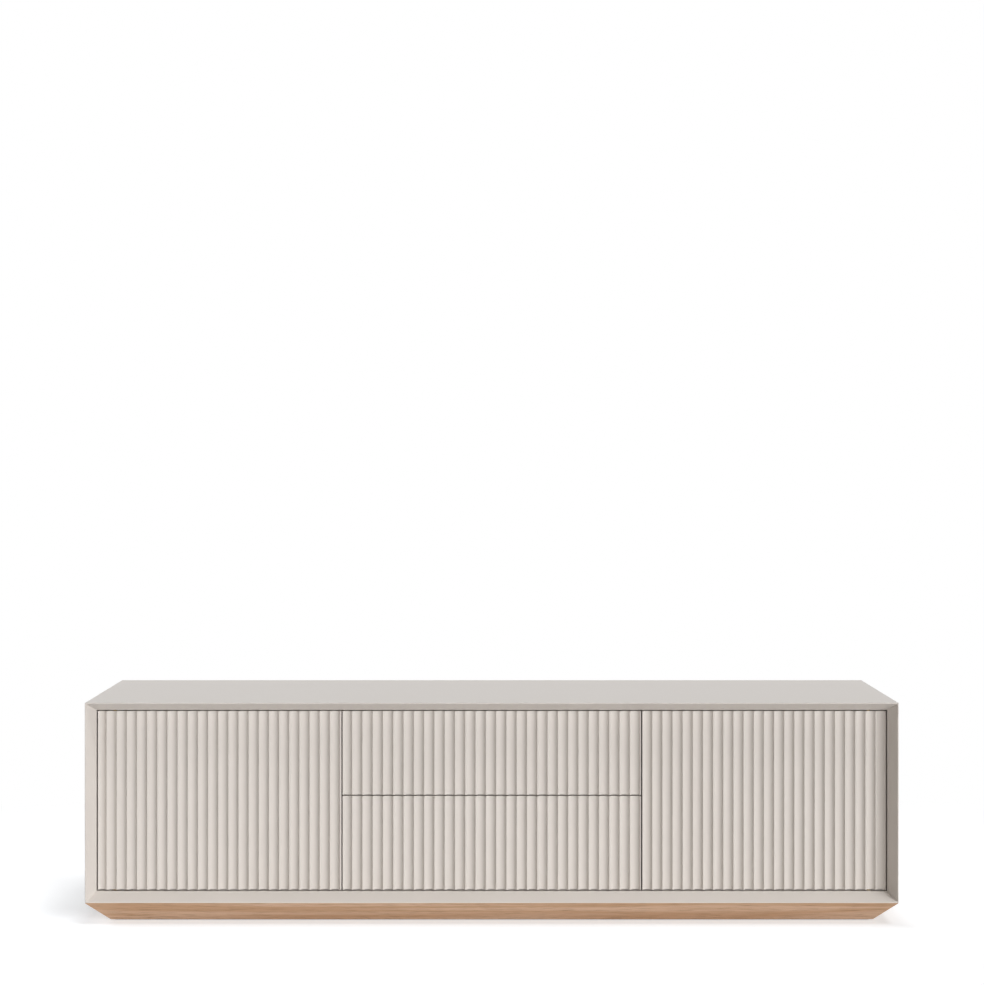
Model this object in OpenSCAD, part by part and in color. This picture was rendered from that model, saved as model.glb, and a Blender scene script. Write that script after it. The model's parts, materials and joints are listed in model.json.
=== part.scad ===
// Low media cabinet. A mitred carcase with bevelled front edges stands on an oak plinth. Two fluted
// doors on pivot hinges flank two fluted drawers on ball-bearing runners, and push latches open all four.
// Sizes are millimetres. X runs along the width, the front faces -Y, Z is up, and the origin is on the
// floor under the middle of the cabinet.

/* [Cabinet] */
// Overall width across the side panels
cabinet_w = 1650; // [1400:10:2000]
// Overall depth from the front edges to the back edges
cabinet_d = 450; // [380:5:560]
// Overall height from the floor to the top
cabinet_h = 450; // [440:5:560]
// Thickness of the four carcase boards
board_t = 18; // [16:1:22]
// How far back the bevel runs on the carcase's front edges
bevel_d = 31; // [22:1:36]
// Flat nose left in front of the bevel
nose_t = 2; // [1:0.5:3]

/* [Plinth] */
// Height of the plinth rails
plinth_h = 42; // [34:1:60]
// How far the foot of the plinth is set in from its top edge
plinth_inset = 45; // [30:1:60]
// Width of the flat foot under the rails
plinth_foot = 22; // [18:1:30]
// Leg of the triangular corner blocks
corner_block = 60; // [45:5:90]
// Width of the cross rails under the partitions
cross_rail_w = 40; // [30:5:60]
// Height of the glides under the plinth
glide_h = 2; // [1.5:0.5:5]
// Radius of the glides
glide_r = 6; // [5:0.5:8]

/* [Fronts] */
// Thickness of the door and drawer fronts, over the flutes' crests
front_t = 22; // [20:1:25]
// Gap round every front
front_gap = 2.6; // [1.5:0.1:3.5]
// How far the flutes' crests sit behind the inner end of the bevel
front_setback = 1; // [0.5:0.5:4]
// Width of the two drawer fronts
drawer_front_w = 609; // [560:1:660]
// Height of the upper drawer front
upper_front_h = 171; // [160:1:185]
// Number of flutes on a door
door_flutes = 24; // [20:1:28]
// Number of flutes on a drawer front
drawer_flutes = 29; // [25:1:33]
// Depth of a flute
flute_d = 5.6; // [3:0.2:6]
// Flat crest left between two flutes
flute_land = 0.8; // [0.4:0.1:2]

/* [Inside] */
// Thickness of the two partitions
partition_t = 18; // [16:1:22]
// Thickness of the back panel
back_t = 8; // [5:1:10]
// How far the back panel is let in from the boards' back edges
back_inset = 3; // [2.5:0.5:6]
// Clear space between the fronts and the partitions' front edges
case_clear = 3; // [2.5:0.5:5]
// Thickness of the two shelves
shelf_t = 18; // [15:1:22]
// Gap between the swinging doors' tails and the shelves' front edges
shelf_clear = 6; // [3:1:60]
// Space left for leads behind the shelves
shelf_cable_gap = 25; // [15:1:50]
// Radius of a shelf pin
shelf_pin_r = 2.5; // [2:0.25:3]

/* [Drawer boxes] */
// Thickness of the drawer boxes' sides, fronts and backs
box_t = 15; // [12:1:18]
// Thickness of the drawer bottoms
box_bottom_t = 6; // [4:1:8]
// Clear space between the drawer boxes and the back panel
box_back_gap = 27; // [10:1:60]
// How far the drawer boxes run past the back ends of their runners
box_over = 3; // [0:1:12]
// Height of the upper drawer box
upper_box_h = 125; // [90:1:130]
// Height of the lower drawer box
lower_box_h = 150; // [100:1:155]
// Depth of the grooves that hold the drawer bottoms
groove_d = 6; // [3:1:8]

/* [Runners] */
// Room that a runner takes between a partition and a drawer side
runner_gap = 12.7; // [12.5:0.1:14]
// Height of a runner
runner_h = 45; // [40:1:50]
// Thickness of the runners' steel
runner_steel = 1.2; // [1:0.1:1.4]
// Room for the balls between two runner members
ball_gap = 2.4; // [2:0.1:2.8]

/* [Hinges] */
// Distance from a door's edge to its pivot pins
pivot_in = 34; // [34:1:44]
// How far the pivot pins sit behind the middle of the door's thickness
pivot_shift = 1; // [0.5:0.1:1.5]
// Radius of the pivot pins
pin_r = 2.5; // [2:0.25:3]
// Length that a pin reaches into its door past the leaf
pin_reach = 7; // [5:1:12]
// Length of the hinge plates and leaves
leaf_l = 44; // [40:1:60]
// Width of the hinge plates and leaves
leaf_w = 9; // [8:0.5:10]
// Thickness of the hinge plates and leaves
leaf_t = 2.5; // [2:0.5:4]

/* [Latches] */
// Width of a latch body, from the partition into the bay
latch_w = 12; // [10:0.5:12]
// Height of a latch body
latch_h = 14; // [12:1:16]
// Length of a latch body
latch_l = 70; // [60:1:80]
// Radius of a latch plunger
plunger_r = 2.8; // [2:0.2:3.4]
// Radius of the strike discs on the fronts
strike_r = 6; // [5:0.5:6]

/* [Cable ports] */
// Radius of the holes in the back panel
port_r = 30; // [20:1:38]
// Height of the ports above the bottom board
port_height = 80; // [60:1:90]
// Wall thickness of the grommets
grommet_t = 2.5; // [1.5:0.5:4]

/* [Fits] */
// Clearance of pieces let into grooves, slots and recesses
fit = 0.1; // [0.05:0.05:0.3]
// Radial clearance of the pivot pins in their leaves
pin_fit = 0.05; // [0.03:0.01:0.1]

/* [Hidden] */
$fn = 48;

lacquer = [0.83, 0.80, 0.76];
oak = [0.74, 0.60, 0.48];
birch = [0.85, 0.76, 0.62];
steel = [0.72, 0.73, 0.74];
zinc = [0.62, 0.63, 0.64];
brass = [0.76, 0.63, 0.36];
grey_plastic = [0.55, 0.55, 0.54];
dark_plastic = [0.20, 0.20, 0.20];

// Planes of the carcase
front_y = -cabinet_d / 2;
back_y = cabinet_d / 2;
carcase_z = glide_h + plinth_h;
carcase_h = cabinet_h - carcase_z;
in_x = cabinet_w / 2 - board_t;
in_z0 = carcase_z + board_t;
in_z1 = cabinet_h - board_t;
back_out_y = back_y - back_inset;
back_in_y = back_out_y - back_t;
rebate = board_t / 2;

// Planes and sizes of the fronts
crest_y = front_y + bevel_d + front_setback;
front_in_y = crest_y + front_t;
case_y = front_in_y + case_clear;
door_x = drawer_front_w / 2 + front_gap;
door_w = in_x - front_gap - door_x;
door_h = in_z1 - in_z0 - 2 * front_gap;
lower_front_z = in_z0 + front_gap;
lower_front_h = door_h - upper_front_h - front_gap;
upper_front_z = lower_front_z + lower_front_h + front_gap;
// The flutes start this share of a pitch before the left edge of the front
left_flute_shift = 0.12;
drawer_flute_shift = 0.065;
right_flute_shift = 0;

// Partitions, centred on the gaps between the fronts
partition_x = drawer_front_w / 2 + front_gap / 2;
bay_x = partition_x + partition_t / 2;
well_x = partition_x - partition_t / 2;

// Plinth rails and what stiffens them
rail_w = plinth_inset + plinth_foot;
cross_half = cabinet_d / 2 - rail_w;
block_lift = 1;
plinth_screw_seat = 16;
plinth_screw_in_board = 12;
plinth_screw_from_rail = 30;
glide_in = 1;
glide_nail_r = 1.5;
glide_nail_l = 12;

// Joinery
spline_w = 13;
spline_t = 4;
spline_inset = 12;
dowel_r = 4;
dowel_l = 30;
dowel_in_board = 12;
dowel_edge = 50;
dowel_ys = [case_y + dowel_edge, (case_y + back_in_y) / 2, back_in_y - dowel_edge];

// Screws
wood_screw_r = 1.6;
wood_screw_head_r = 3.2;
wood_screw_head_h = 1.8;
hardware_screw_l = 13;
back_screw_l = 16;
back_screw_head_r = 3.5;
back_screw_head_h = 2;
back_screw_edge = 60;
back_screw_columns = 5;
front_screw_l = box_t + 10;
front_screw_in = 60;
front_screw_low = 15;
front_screw_top = 20;

// Shelves on pins
shelf_z = (in_z0 + in_z1) / 2;
hinge_y = crest_y + front_t / 2 + pivot_shift;
door_tail = sqrt(pow(pivot_in, 2) + pow(front_t / 2 + pivot_shift, 2));
shelf_y0 = hinge_y + door_tail + shelf_clear;
shelf_y1 = back_in_y - shelf_cable_gap;
shelf_side_gap = 1;
pin_hole_depth = 10;
pin_hole_pitch = 32;
pin_hole_rows = 1;
pin_pad_l = 8;
pin_pad_w = 12;
pin_pad_t = 2;
pin_edge = 45;
pin_ys = [shelf_y0 + pin_edge, shelf_y1 - pin_edge];
pin_z = shelf_z - pin_pad_t - shelf_pin_r;

// Drawer boxes and runners
box_x = well_x - runner_gap;
box_in_x = box_x - box_t;
lower_box_z = in_z0 + 12;
upper_box_z = upper_front_z + 9;
lower_runner_z = lower_box_z + lower_box_h / 2;
upper_runner_z = upper_box_z + upper_box_h / 2;
groove_up = 10;
runner_front = 2;
runner_y = case_y + runner_front;
box_y1 = back_in_y - box_back_gap;
runner_l = box_y1 - box_over - runner_y;
member_gap = 0.9;
middle_x = runner_steel + member_gap;
middle_reach = runner_gap - runner_steel - member_gap;
outer_reach = runner_gap - 3;
inner_reach = middle_x + runner_steel + member_gap;
middle_h = runner_h - 2 * (runner_steel + ball_gap);
inner_h = middle_h - 2 * (runner_steel + ball_gap);
runner_screw_end = 30;
runner_screw_ys = [runner_screw_end, runner_l / 2, runner_l - runner_screw_end];
cage_w = 4;
cage_t = 0.8;
cage_end = 10;
cage_l = runner_l / 2 - 2 * cage_end;
cage_balls = 8;
ball_r = ball_gap / 2 - 0.1;

// Hinges
hinge_x = in_x - front_gap - pivot_in;
leaf_tail = 8;
pin_room = 0.5;
leaf_screw_xs = [16, leaf_l - leaf_tail - 7];
collar_r = 4.2;
collar_gap = 0.1;

// Latches
latch_base_t = 2.5;
latch_base_h = latch_h + 18;
latch_base_l = 28;
latch_base_y = 20;
plunger_rest = 0.3;
plunger_inside = latch_l - 15;
strike_t = 1;
strike_stem_r = 1.5;
strike_stem_l = 6;
door_latch_down = 40;
drawer_latch_down = 9;
door_latch_z = in_z1 - door_latch_down - latch_h / 2;
upper_latch_z = in_z1 - front_gap - drawer_latch_down - latch_h / 2;
lower_latch_z = upper_front_z - front_gap - drawer_latch_down - latch_h / 2;

// Cable ports
port_x = (bay_x + in_x) / 2;
port_z = in_z0 + port_height;
grommet_flange_r = port_r + 4;
grommet_flange_t = 2;

// ---------------------------------------------------------------- helpers

module both_sides() {
    children();
    mirror([1, 0, 0]) children();
}

// Puts a right-hand piece on the side asked for: 1 is right, -1 is left
module on_side(side) {
    mirror([side < 0 ? 1 : 0, 0, 0]) children();
}

module box_between(low, high) {
    translate(low) cube(high - low);
}

// Countersunk wood screw: the head's flat top is at the origin and the shank points down -Z
module wood_screw(length, grow = 0) {
    translate([0, 0, -wood_screw_head_h])
        cylinder(r1 = wood_screw_r + grow, r2 = wood_screw_head_r + grow, h = wood_screw_head_h);
    translate([0, 0, -length - grow])
        cylinder(r = wood_screw_r + grow, h = length + grow - wood_screw_head_h + 0.2);
}

// Pan-head screw: the head stands on the surface at the origin and the shank points down -Z
module pan_screw(length, grow = 0) {
    cylinder(r = back_screw_head_r + grow, h = back_screw_head_h);
    translate([0, 0, -length - grow]) cylinder(r = wood_screw_r + grow, h = length + grow + 0.2);
}

// ---------------------------------------------------------------- carcase

// One carcase board lying on its outer face: length along X, depth along Y, thickness up +Z.
// Its front edge is bevelled, its back inner edge is rebated, and both ends are mitred.
module mitred_board(length) {
    section = [
        [front_y, 0], [back_y, 0], [back_y, board_t - rebate], [back_in_y, board_t - rebate],
        [back_in_y, board_t], [front_y + bevel_d, board_t], [front_y, nose_t]
    ];
    ends = [
        [-length / 2, 0], [length / 2, 0],
        [length / 2 - board_t, board_t], [board_t - length / 2, board_t]
    ];
    intersection() {
        rotate([90, 0, 90]) translate([0, 0, -length / 2]) linear_extrude(length) polygon(section);
        translate([0, back_y, 0]) rotate([90, 0, 0]) linear_extrude(cabinet_d) polygon(ends);
    }
}

// Loose tongues across the four mitres, each square to its mitre
module splines(grow = 0) {
    y0 = front_y + bevel_d + spline_inset - grow;
    y1 = back_in_y - spline_inset + grow;
    middle = board_t / 2;
    for (side = [-1, 1], end = [0, 1])
        translate([
            side * (cabinet_w / 2 - middle), 0,
            end ? cabinet_h - middle : carcase_z + middle
        ])
            rotate([0, (end ? 1 : -1) * side * 45, 0])
                box_between(
                    [-spline_w / 2 - grow, y0, -spline_t / 2 - grow],
                    [spline_w / 2 + grow, y1, spline_t / 2 + grow]
                );
}

module dowels(grow = 0) {
    for (side = [-1, 1], y = dowel_ys) {
        translate([side * partition_x, y, in_z0 - dowel_in_board - grow])
            cylinder(r = dowel_r + grow, h = dowel_l + 2 * grow);
        translate([side * partition_x, y, in_z1 + dowel_in_board - dowel_l - grow])
            cylinder(r = dowel_r + grow, h = dowel_l + 2 * grow);
    }
}

module top_panel() {
    color(lacquer) difference() {
        translate([0, 0, cabinet_h]) mirror([0, 0, 1]) mitred_board(cabinet_w);
        splines(fit);
        dowels(fit);
        back_screws(fit);
        pivot_plate_recesses();
        hinge_plate_screws(fit);
    }
}

module bottom_panel() {
    color(lacquer) difference() {
        translate([0, 0, carcase_z]) mitred_board(cabinet_w);
        splines(fit);
        dowels(fit);
        back_screws(fit);
        pivot_plate_recesses();
        hinge_plate_screws(fit);
        all_plinth_screws(fit);
    }
}

module side_panel(side) {
    color(lacquer) difference() {
        on_side(side)
            translate([cabinet_w / 2, 0, carcase_z + carcase_h / 2])
                rotate([0, -90, 0]) mitred_board(carcase_h);
        splines(fit);
        back_screws(fit);
        shelf_pin_holes(side);
    }
}

module partition(side) {
    color(lacquer) difference() {
        translate([side * partition_x, 0, 0])
            box_between([-partition_t / 2, case_y, in_z0], [partition_t / 2, back_in_y, in_z1]);
        dowels(fit);
        shelf_pin_holes(side);
        runner_outer_screws(fit);
        latch_screws(fit);
    }
}

module back_panel() {
    reach = rebate - 2 * fit;
    color(lacquer) difference() {
        box_between(
            [-in_x - reach, back_in_y, in_z0 - reach],
            [in_x + reach, back_out_y, in_z1 + reach]
        );
        both_sides()
            translate([port_x, back_out_y + 1, port_z]) rotate([90, 0, 0])
                cylinder(r = port_r + fit, h = back_t + 2);
        back_screws(fit);
    }
}

// Screws round the back panel, driven forwards into the boards' rebates
module back_screws(grow = 0) {
    edge = rebate / 2;
    step = 2 * (in_x - back_screw_edge) / (back_screw_columns - 1);
    for (i = [0:back_screw_columns - 1], z = [in_z0 - edge, in_z1 + edge])
        translate([back_screw_edge - in_x + i * step, back_out_y, z])
            rotate([-90, 0, 0]) pan_screw(back_screw_l, grow);
    for (side = [-1, 1], share = [0.25, 0.75])
        translate([side * (in_x + edge), back_out_y, in_z0 + share * (in_z1 - in_z0)])
            rotate([-90, 0, 0]) pan_screw(back_screw_l, grow);
}

// ---------------------------------------------------------------- plinth

// One plinth rail with its outer top edge along X at y = 0, sloping in and down towards +Y
module plinth_rail(length) {
    section = [[0, plinth_h], [rail_w, plinth_h], [rail_w, 0], [plinth_inset, 0]];
    plan = [
        [-length / 2, 0], [length / 2, 0],
        [length / 2 - rail_w, rail_w], [rail_w - length / 2, rail_w]
    ];
    intersection() {
        rotate([90, 0, 90]) translate([0, 0, -length / 2]) linear_extrude(length) polygon(section);
        linear_extrude(plinth_h) polygon(plan);
    }
}

module plinth_long(turn) {
    color(oak) difference() {
        rotate([0, 0, turn]) translate([0, front_y, glide_h]) plinth_rail(cabinet_w);
        all_glides(fit);
    }
}

module plinth_short(turn) {
    color(oak) difference() {
        rotate([0, 0, turn]) translate([0, -cabinet_w / 2, glide_h]) plinth_rail(cabinet_d);
        all_glides(fit);
    }
}

module plinth_cross_rails() {
    color(birch) difference() {
        for (side = [-1, 1])
            translate([side * partition_x, 0, 0])
                box_between(
                    [-cross_rail_w / 2, -cross_half, glide_h + block_lift],
                    [cross_rail_w / 2, cross_half, carcase_z]
                );
        all_plinth_screws(fit);
    }
}

module plinth_corner_blocks() {
    x = cabinet_w / 2 - rail_w;
    y = cabinet_d / 2 - rail_w;
    color(birch) difference() {
        for (sx = [-1, 1], sy = [-1, 1])
            translate([0, 0, glide_h + block_lift]) linear_extrude(plinth_h - block_lift)
                polygon([
                    [sx * x, sy * y], [sx * (x - corner_block), sy * y], [sx * x, sy * (y - corner_block)]
                ]);
        all_plinth_screws(fit);
    }
}

// Screws driven up through the corner blocks and the cross rails into the bottom board, counterbored so
// that only their last stretch is in the block
module all_plinth_screws(grow = 0) {
    block_in = rail_w + corner_block / 3;
    seat_z = carcase_z - plinth_screw_seat;
    for (sx = [-1, 1], sy = [-1, 1]) {
        translate([sx * (cabinet_w / 2 - block_in), sy * (cabinet_d / 2 - block_in), seat_z])
            plinth_screw(grow);
        translate([sx * partition_x, sy * (cross_half - plinth_screw_from_rail), seat_z])
            plinth_screw(grow);
    }
}

module plinth_screw(grow) {
    rotate([180, 0, 0]) {
        wood_screw(plinth_screw_seat + plinth_screw_in_board, grow);
        if (grow > 0)
            translate([0, 0, -0.01])
                cylinder(r = wood_screw_head_r + grow, h = plinth_h + glide_h - plinth_screw_seat);
    }
}

// Nail-on glides under the foot of the plinth
module all_glides(grow = 0) {
    foot_in = plinth_inset + plinth_foot - glide_r - glide_in;
    x = cabinet_w / 2 - foot_in;
    y = cabinet_d / 2 - foot_in;
    for (sx = [-1, 0, 1], sy = [-1, 1])
        translate([sx * x, sy * y, 0]) {
            if (grow == 0) cylinder(r = glide_r, h = glide_h);
            cylinder(r = glide_nail_r + grow, h = glide_h + glide_nail_l + grow);
        }
}

// ---------------------------------------------------------------- shelves and cable ports

module shelf(side) {
    color(lacquer) on_side(side)
        box_between(
            [bay_x + shelf_side_gap, shelf_y0, shelf_z],
            [in_x - shelf_side_gap, shelf_y1, shelf_z + shelf_t]
        );
}

// Blind holes for the shelf pins, in the side panel and the partition of one bay
module shelf_pin_holes(side) {
    for (y = pin_ys, row = [-pin_hole_rows:pin_hole_rows])
        on_side(side) translate([0, y, pin_z + row * pin_hole_pitch]) rotate([0, 90, 0]) {
            translate([0, 0, in_x]) cylinder(r = shelf_pin_r + fit, h = pin_hole_depth);
            translate([0, 0, bay_x - pin_hole_depth]) cylinder(r = shelf_pin_r + fit, h = pin_hole_depth);
        }
}

// A peg in the wall with a flat pad that the shelf rests on; the wall is at x = 0 and the bay towards +X
module shelf_pin() {
    rotate([0, -90, 0]) cylinder(r = shelf_pin_r, h = pin_hole_depth - 1);
    box_between([0, -pin_pad_w / 2, -shelf_pin_r], [pin_pad_l, pin_pad_w / 2, shelf_pin_r + pin_pad_t]);
}

module shelf_pins() {
    color(steel) both_sides()
        for (y = pin_ys) {
            translate([bay_x, y, pin_z]) shelf_pin();
            translate([in_x, y, pin_z]) mirror([1, 0, 0]) shelf_pin();
        }
}

module cable_grommets() {
    color(grey_plastic) both_sides()
        translate([port_x, back_out_y, port_z]) rotate([90, 0, 0]) difference() {
            union() {
                translate([0, 0, -grommet_flange_t]) cylinder(r = grommet_flange_r, h = grommet_flange_t);
                cylinder(r = port_r, h = back_t);
            }
            translate([0, 0, -grommet_flange_t - 1])
                cylinder(r = port_r - grommet_t, h = back_t + grommet_flange_t + 2);
        }
}

// ---------------------------------------------------------------- fluted fronts

// A fluted board: width along X, height up Z, the flutes' crests at y = 0, the flat back at y = front_t
module fluted_board(width, height, flutes, shift) {
    pitch = width / flutes;
    half = (pitch - flute_land) / 2;
    radius = (half * half + flute_d * flute_d) / (2 * flute_d);
    linear_extrude(height) difference() {
        square([width, front_t]);
        for (i = [0:flutes])
            translate([(i - shift + 0.5) * pitch, flute_d - radius]) circle(r = radius);
    }
}

module door(side) {
    color(lacquer) difference() {
        translate([side < 0 ? -door_x - door_w : door_x, crest_y, lower_front_z])
            fluted_board(door_w, door_h, door_flutes, side < 0 ? left_flute_shift : right_flute_shift);
        at_hinges(side) translate([0, 0, front_gap]) {
            leaf_plate(-fit, leaf_t + fit);
            cylinder(r = pin_r + pin_room, h = leaf_t + pin_reach + pin_room);
        }
        door_leaf_screws(side, fit);
        door_strike(side, fit);
    }
}

// ---------------------------------------------------------------- pivot hinges

// Places a bottom-hinge piece at both ends of one door's pivot axis. Its z = 0 is the carcase board's face,
// +Z points into the door, and +X points from the axis to the door's free edge.
module at_hinges(side) {
    on_side(side) translate([hinge_x, hinge_y, 0]) {
        translate([0, 0, in_z0]) mirror([1, 0, 0]) children();
        translate([0, 0, in_z1]) mirror([0, 0, 1]) mirror([1, 0, 0]) children();
    }
}

module leaf_plate(z0, z1, grow = 0) {
    box_between(
        [-leaf_tail - grow, -leaf_w / 2 - grow, z0],
        [leaf_l - leaf_tail + grow, leaf_w / 2 + grow, z1]
    );
}

module pivot_plate() {
    difference() {
        union() {
            leaf_plate(-leaf_t, 0);
            cylinder(r = collar_r, h = front_gap - collar_gap);
            cylinder(r = pin_r, h = front_gap + leaf_t + pin_reach);
        }
        for (x = leaf_screw_xs) translate([x, 0, 0]) wood_screw(hardware_screw_l, fit);
    }
}

module pivot_plates() {
    color(brass) for (side = [-1, 1]) at_hinges(side) pivot_plate();
}

module pivot_plate_recesses() {
    for (side = [-1, 1]) at_hinges(side) leaf_plate(-leaf_t, 1, fit);
}

module hinge_plate_screws(grow = 0) {
    for (side = [-1, 1]) at_hinges(side)
        for (x = leaf_screw_xs) translate([x, 0, 0]) wood_screw(hardware_screw_l, grow);
}

module door_leaves(side) {
    color(brass) difference() {
        at_hinges(side) translate([0, 0, front_gap]) leaf_plate(0, leaf_t);
        at_hinges(side) cylinder(r = pin_r + pin_fit, h = front_gap + leaf_t + 1);
        door_leaf_screws(side, fit);
    }
}

module door_leaf_screws(side, grow = 0) {
    at_hinges(side) for (x = leaf_screw_xs)
        translate([x, 0, front_gap]) mirror([0, 0, 1]) wood_screw(hardware_screw_l, grow);
}

// ---------------------------------------------------------------- push latches

// Places a latch piece: the partition's face is x = 0, the bay lies towards +X and y = 0 is the partitions'
// front edge
module at_door_latch(side) {
    on_side(side) translate([bay_x, case_y, door_latch_z]) children();
}

module at_drawer_latches(z) {
    both_sides() translate([well_x, case_y, z]) mirror([1, 0, 0]) children();
}

module at_every_latch() {
    at_door_latch(-1) children();
    at_door_latch(1) children();
    at_drawer_latches(upper_latch_z) children();
    at_drawer_latches(lower_latch_z) children();
}

module latch_base_screws(grow = 0) {
    for (end = [-1, 1])
        translate([latch_base_t, latch_base_y + latch_base_l / 2, end * (latch_base_h / 2 - 4.5)])
            rotate([0, 90, 0]) wood_screw(hardware_screw_l, grow);
}

module latch_housing() {
    difference() {
        union() {
            box_between([0, 0, -latch_h / 2], [latch_w, latch_l, latch_h / 2]);
            box_between(
                [0, latch_base_y, -latch_base_h / 2],
                [latch_base_t, latch_base_y + latch_base_l, latch_base_h / 2]
            );
        }
        translate([latch_w / 2, -1, 0]) rotate([-90, 0, 0])
            cylinder(r = plunger_r + fit, h = plunger_inside + 3);
        latch_base_screws(fit);
    }
}

module latch_housings() {
    color(grey_plastic) at_every_latch() latch_housing();
}

module latch_screws(grow = 0) {
    at_every_latch() latch_base_screws(grow);
}

// The plunger runs from inside its housing to just short of the strike disc
module plunger() {
    tip = case_clear - strike_t - plunger_rest;
    translate([latch_w / 2, -tip, 0]) rotate([-90, 0, 0]) cylinder(r = plunger_r, h = tip + plunger_inside);
}

// A steel disc on a front's back face, on a stem let into the front
module strike(grow = 0) {
    translate([latch_w / 2, -case_clear, 0]) rotate([-90, 0, 0]) {
        cylinder(r = strike_r, h = strike_t);
        translate([0, 0, -strike_stem_l - grow])
            cylinder(r = strike_stem_r + grow, h = strike_stem_l + grow + 0.2);
    }
}

module door_strike(side, grow = 0) {
    at_door_latch(side) strike(grow);
}

// ---------------------------------------------------------------- drawers

// A runner member: a steel channel whose web lies from x = web on, with flanges reaching to x = reach
module channel(height, web, reach) {
    low = min(web, reach);
    high = max(web + runner_steel, reach);
    box_between([web, 0, -height / 2], [web + runner_steel, runner_l, height / 2]);
    for (end = [-1, 1])
        translate([0, 0, end * (height / 2 - runner_steel / 2)])
            box_between([low, 0, -runner_steel / 2], [high, runner_l, runner_steel / 2]);
}

// Places a runner member on both sides: the partition's face is x = 0 and the drawer lies towards +X
module at_runners(z) {
    both_sides() translate([well_x, runner_y, z]) mirror([1, 0, 0]) children();
}

module outer_member_screws(grow = 0) {
    for (y = runner_screw_ys)
        translate([runner_steel, y, 0]) rotate([0, 90, 0]) wood_screw(hardware_screw_l, grow);
}

module runner_outer_screws(grow = 0) {
    for (z = [lower_runner_z, upper_runner_z]) at_runners(z) outer_member_screws(grow);
}

module runner_cabinet_members() {
    color(zinc) for (z = [lower_runner_z, upper_runner_z]) at_runners(z) difference() {
        channel(runner_h, 0, outer_reach);
        outer_member_screws(fit);
    }
}

module middle_members(z) {
    color(steel) at_runners(z) channel(middle_h, middle_x, middle_reach);
}

// A row of balls in its cage. The cage lies on a flange of the middle member, whose face is z = 0.
module ball_cage() {
    box_between([-cage_w / 2, 0, 0], [cage_w / 2, cage_l, cage_t]);
    for (i = [0:cage_balls - 1])
        translate([0, (i + 0.5) * cage_l / cage_balls, ball_gap / 2]) sphere(r = ball_r, $fn = 24);
}

// Balls run outside the back half of each middle member and inside its front half, so that they stay
// between two members at full travel
module ball_cages(z) {
    outer_x = (middle_x + outer_reach) / 2;
    inner_x = (inner_reach + middle_reach) / 2;
    color(steel) at_runners(z) for (end = [0, 1]) mirror([0, 0, end]) {
        translate([outer_x, runner_l / 2 + cage_end, middle_h / 2]) ball_cage();
        translate([inner_x, cage_end, middle_h / 2 - runner_steel]) mirror([0, 0, 1]) ball_cage();
    }
}

module inner_member_screws(grow = 0) {
    for (y = runner_screw_ys)
        translate([runner_gap - runner_steel, y, 0]) rotate([0, -90, 0]) wood_screw(hardware_screw_l, grow);
}

module drawer_members(z) {
    color(zinc) at_runners(z) difference() {
        channel(inner_h, runner_gap - runner_steel, inner_reach);
        inner_member_screws(fit);
    }
}

// The drawer bottom, let into grooves in the other four pieces of the box
module bottom_slab(z, grow = 0) {
    x = box_in_x + groove_d - 2 * fit + grow;
    box_between(
        [-x, front_in_y + box_t - groove_d + 2 * fit - grow, z + groove_up - grow],
        [x, box_y1 - box_t + groove_d - 2 * fit + grow, z + groove_up + box_bottom_t + grow]
    );
}

module drawer_side(side, z, height, runner_z) {
    color(birch) difference() {
        on_side(side) box_between([box_in_x, front_in_y, z], [box_x, box_y1, z + height]);
        bottom_slab(z, fit);
        at_runners(runner_z) inner_member_screws(fit);
    }
}

module drawer_box_front(z, height) {
    color(birch) difference() {
        box_between([-box_in_x, front_in_y, z], [box_in_x, front_in_y + box_t, z + height]);
        bottom_slab(z, fit);
        front_screws(z, height, fit);
    }
}

module drawer_back(z, height) {
    color(birch) difference() {
        box_between([-box_in_x, box_y1 - box_t, z], [box_in_x, box_y1, z + height]);
        bottom_slab(z, fit);
    }
}

module drawer_bottom(z) {
    color(birch) bottom_slab(z);
}

// Four screws from inside the box into the fluted front
module front_screws(z, height, grow = 0) {
    for (side = [-1, 1], up = [groove_up + box_bottom_t + front_screw_low, height - front_screw_top])
        translate([side * (box_in_x - front_screw_in), front_in_y + box_t, z + up])
            rotate([-90, 0, 0]) wood_screw(front_screw_l, grow);
}

module drawer_front(front_z, front_h, z, height, latch_z) {
    color(lacquer) difference() {
        translate([-drawer_front_w / 2, crest_y, front_z])
            fluted_board(drawer_front_w, front_h, drawer_flutes, drawer_flute_shift);
        front_screws(z, height, fit);
        at_drawer_latches(latch_z) strike(fit);
    }
}

module drawer_screws(z, height, runner_z) {
    color(zinc) {
        front_screws(z, height);
        at_runners(runner_z) inner_member_screws();
    }
}

// ---------------------------------------------------------------- nodes

top_panel();
bottom_panel();
side_panel(-1);  // left_side
side_panel(1);  // right_side
partition(-1);  // left_partition
partition(1);  // right_partition
back_panel();
color(birch) splines();  // corner_splines
color(birch) dowels();  // partition_dowels
color(zinc) back_screws();  // back_panel_screws
plinth_long(0);  // plinth_front
plinth_long(180);  // plinth_back
plinth_short(-90);  // plinth_left
plinth_short(90);  // plinth_right
plinth_cross_rails();
plinth_corner_blocks();
color(zinc) all_plinth_screws();  // plinth_screws
color(dark_plastic) all_glides();  // glides
shelf(-1);  // left_shelf
shelf(1);  // right_shelf
shelf_pins();
cable_grommets();
pivot_plates();
color(zinc) {  // hardware_screws
    hinge_plate_screws();
    latch_screws();
    runner_outer_screws();
}
runner_cabinet_members();
latch_housings();
door(-1);  // left_door
door_leaves(-1);  // left_door_leaves
color(zinc) door_leaf_screws(-1);  // left_door_screws
color(steel) door_strike(-1);  // left_door_strike
door(1);  // right_door
door_leaves(1);  // right_door_leaves
color(zinc) door_leaf_screws(1);  // right_door_screws
color(steel) door_strike(1);  // right_door_strike
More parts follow.
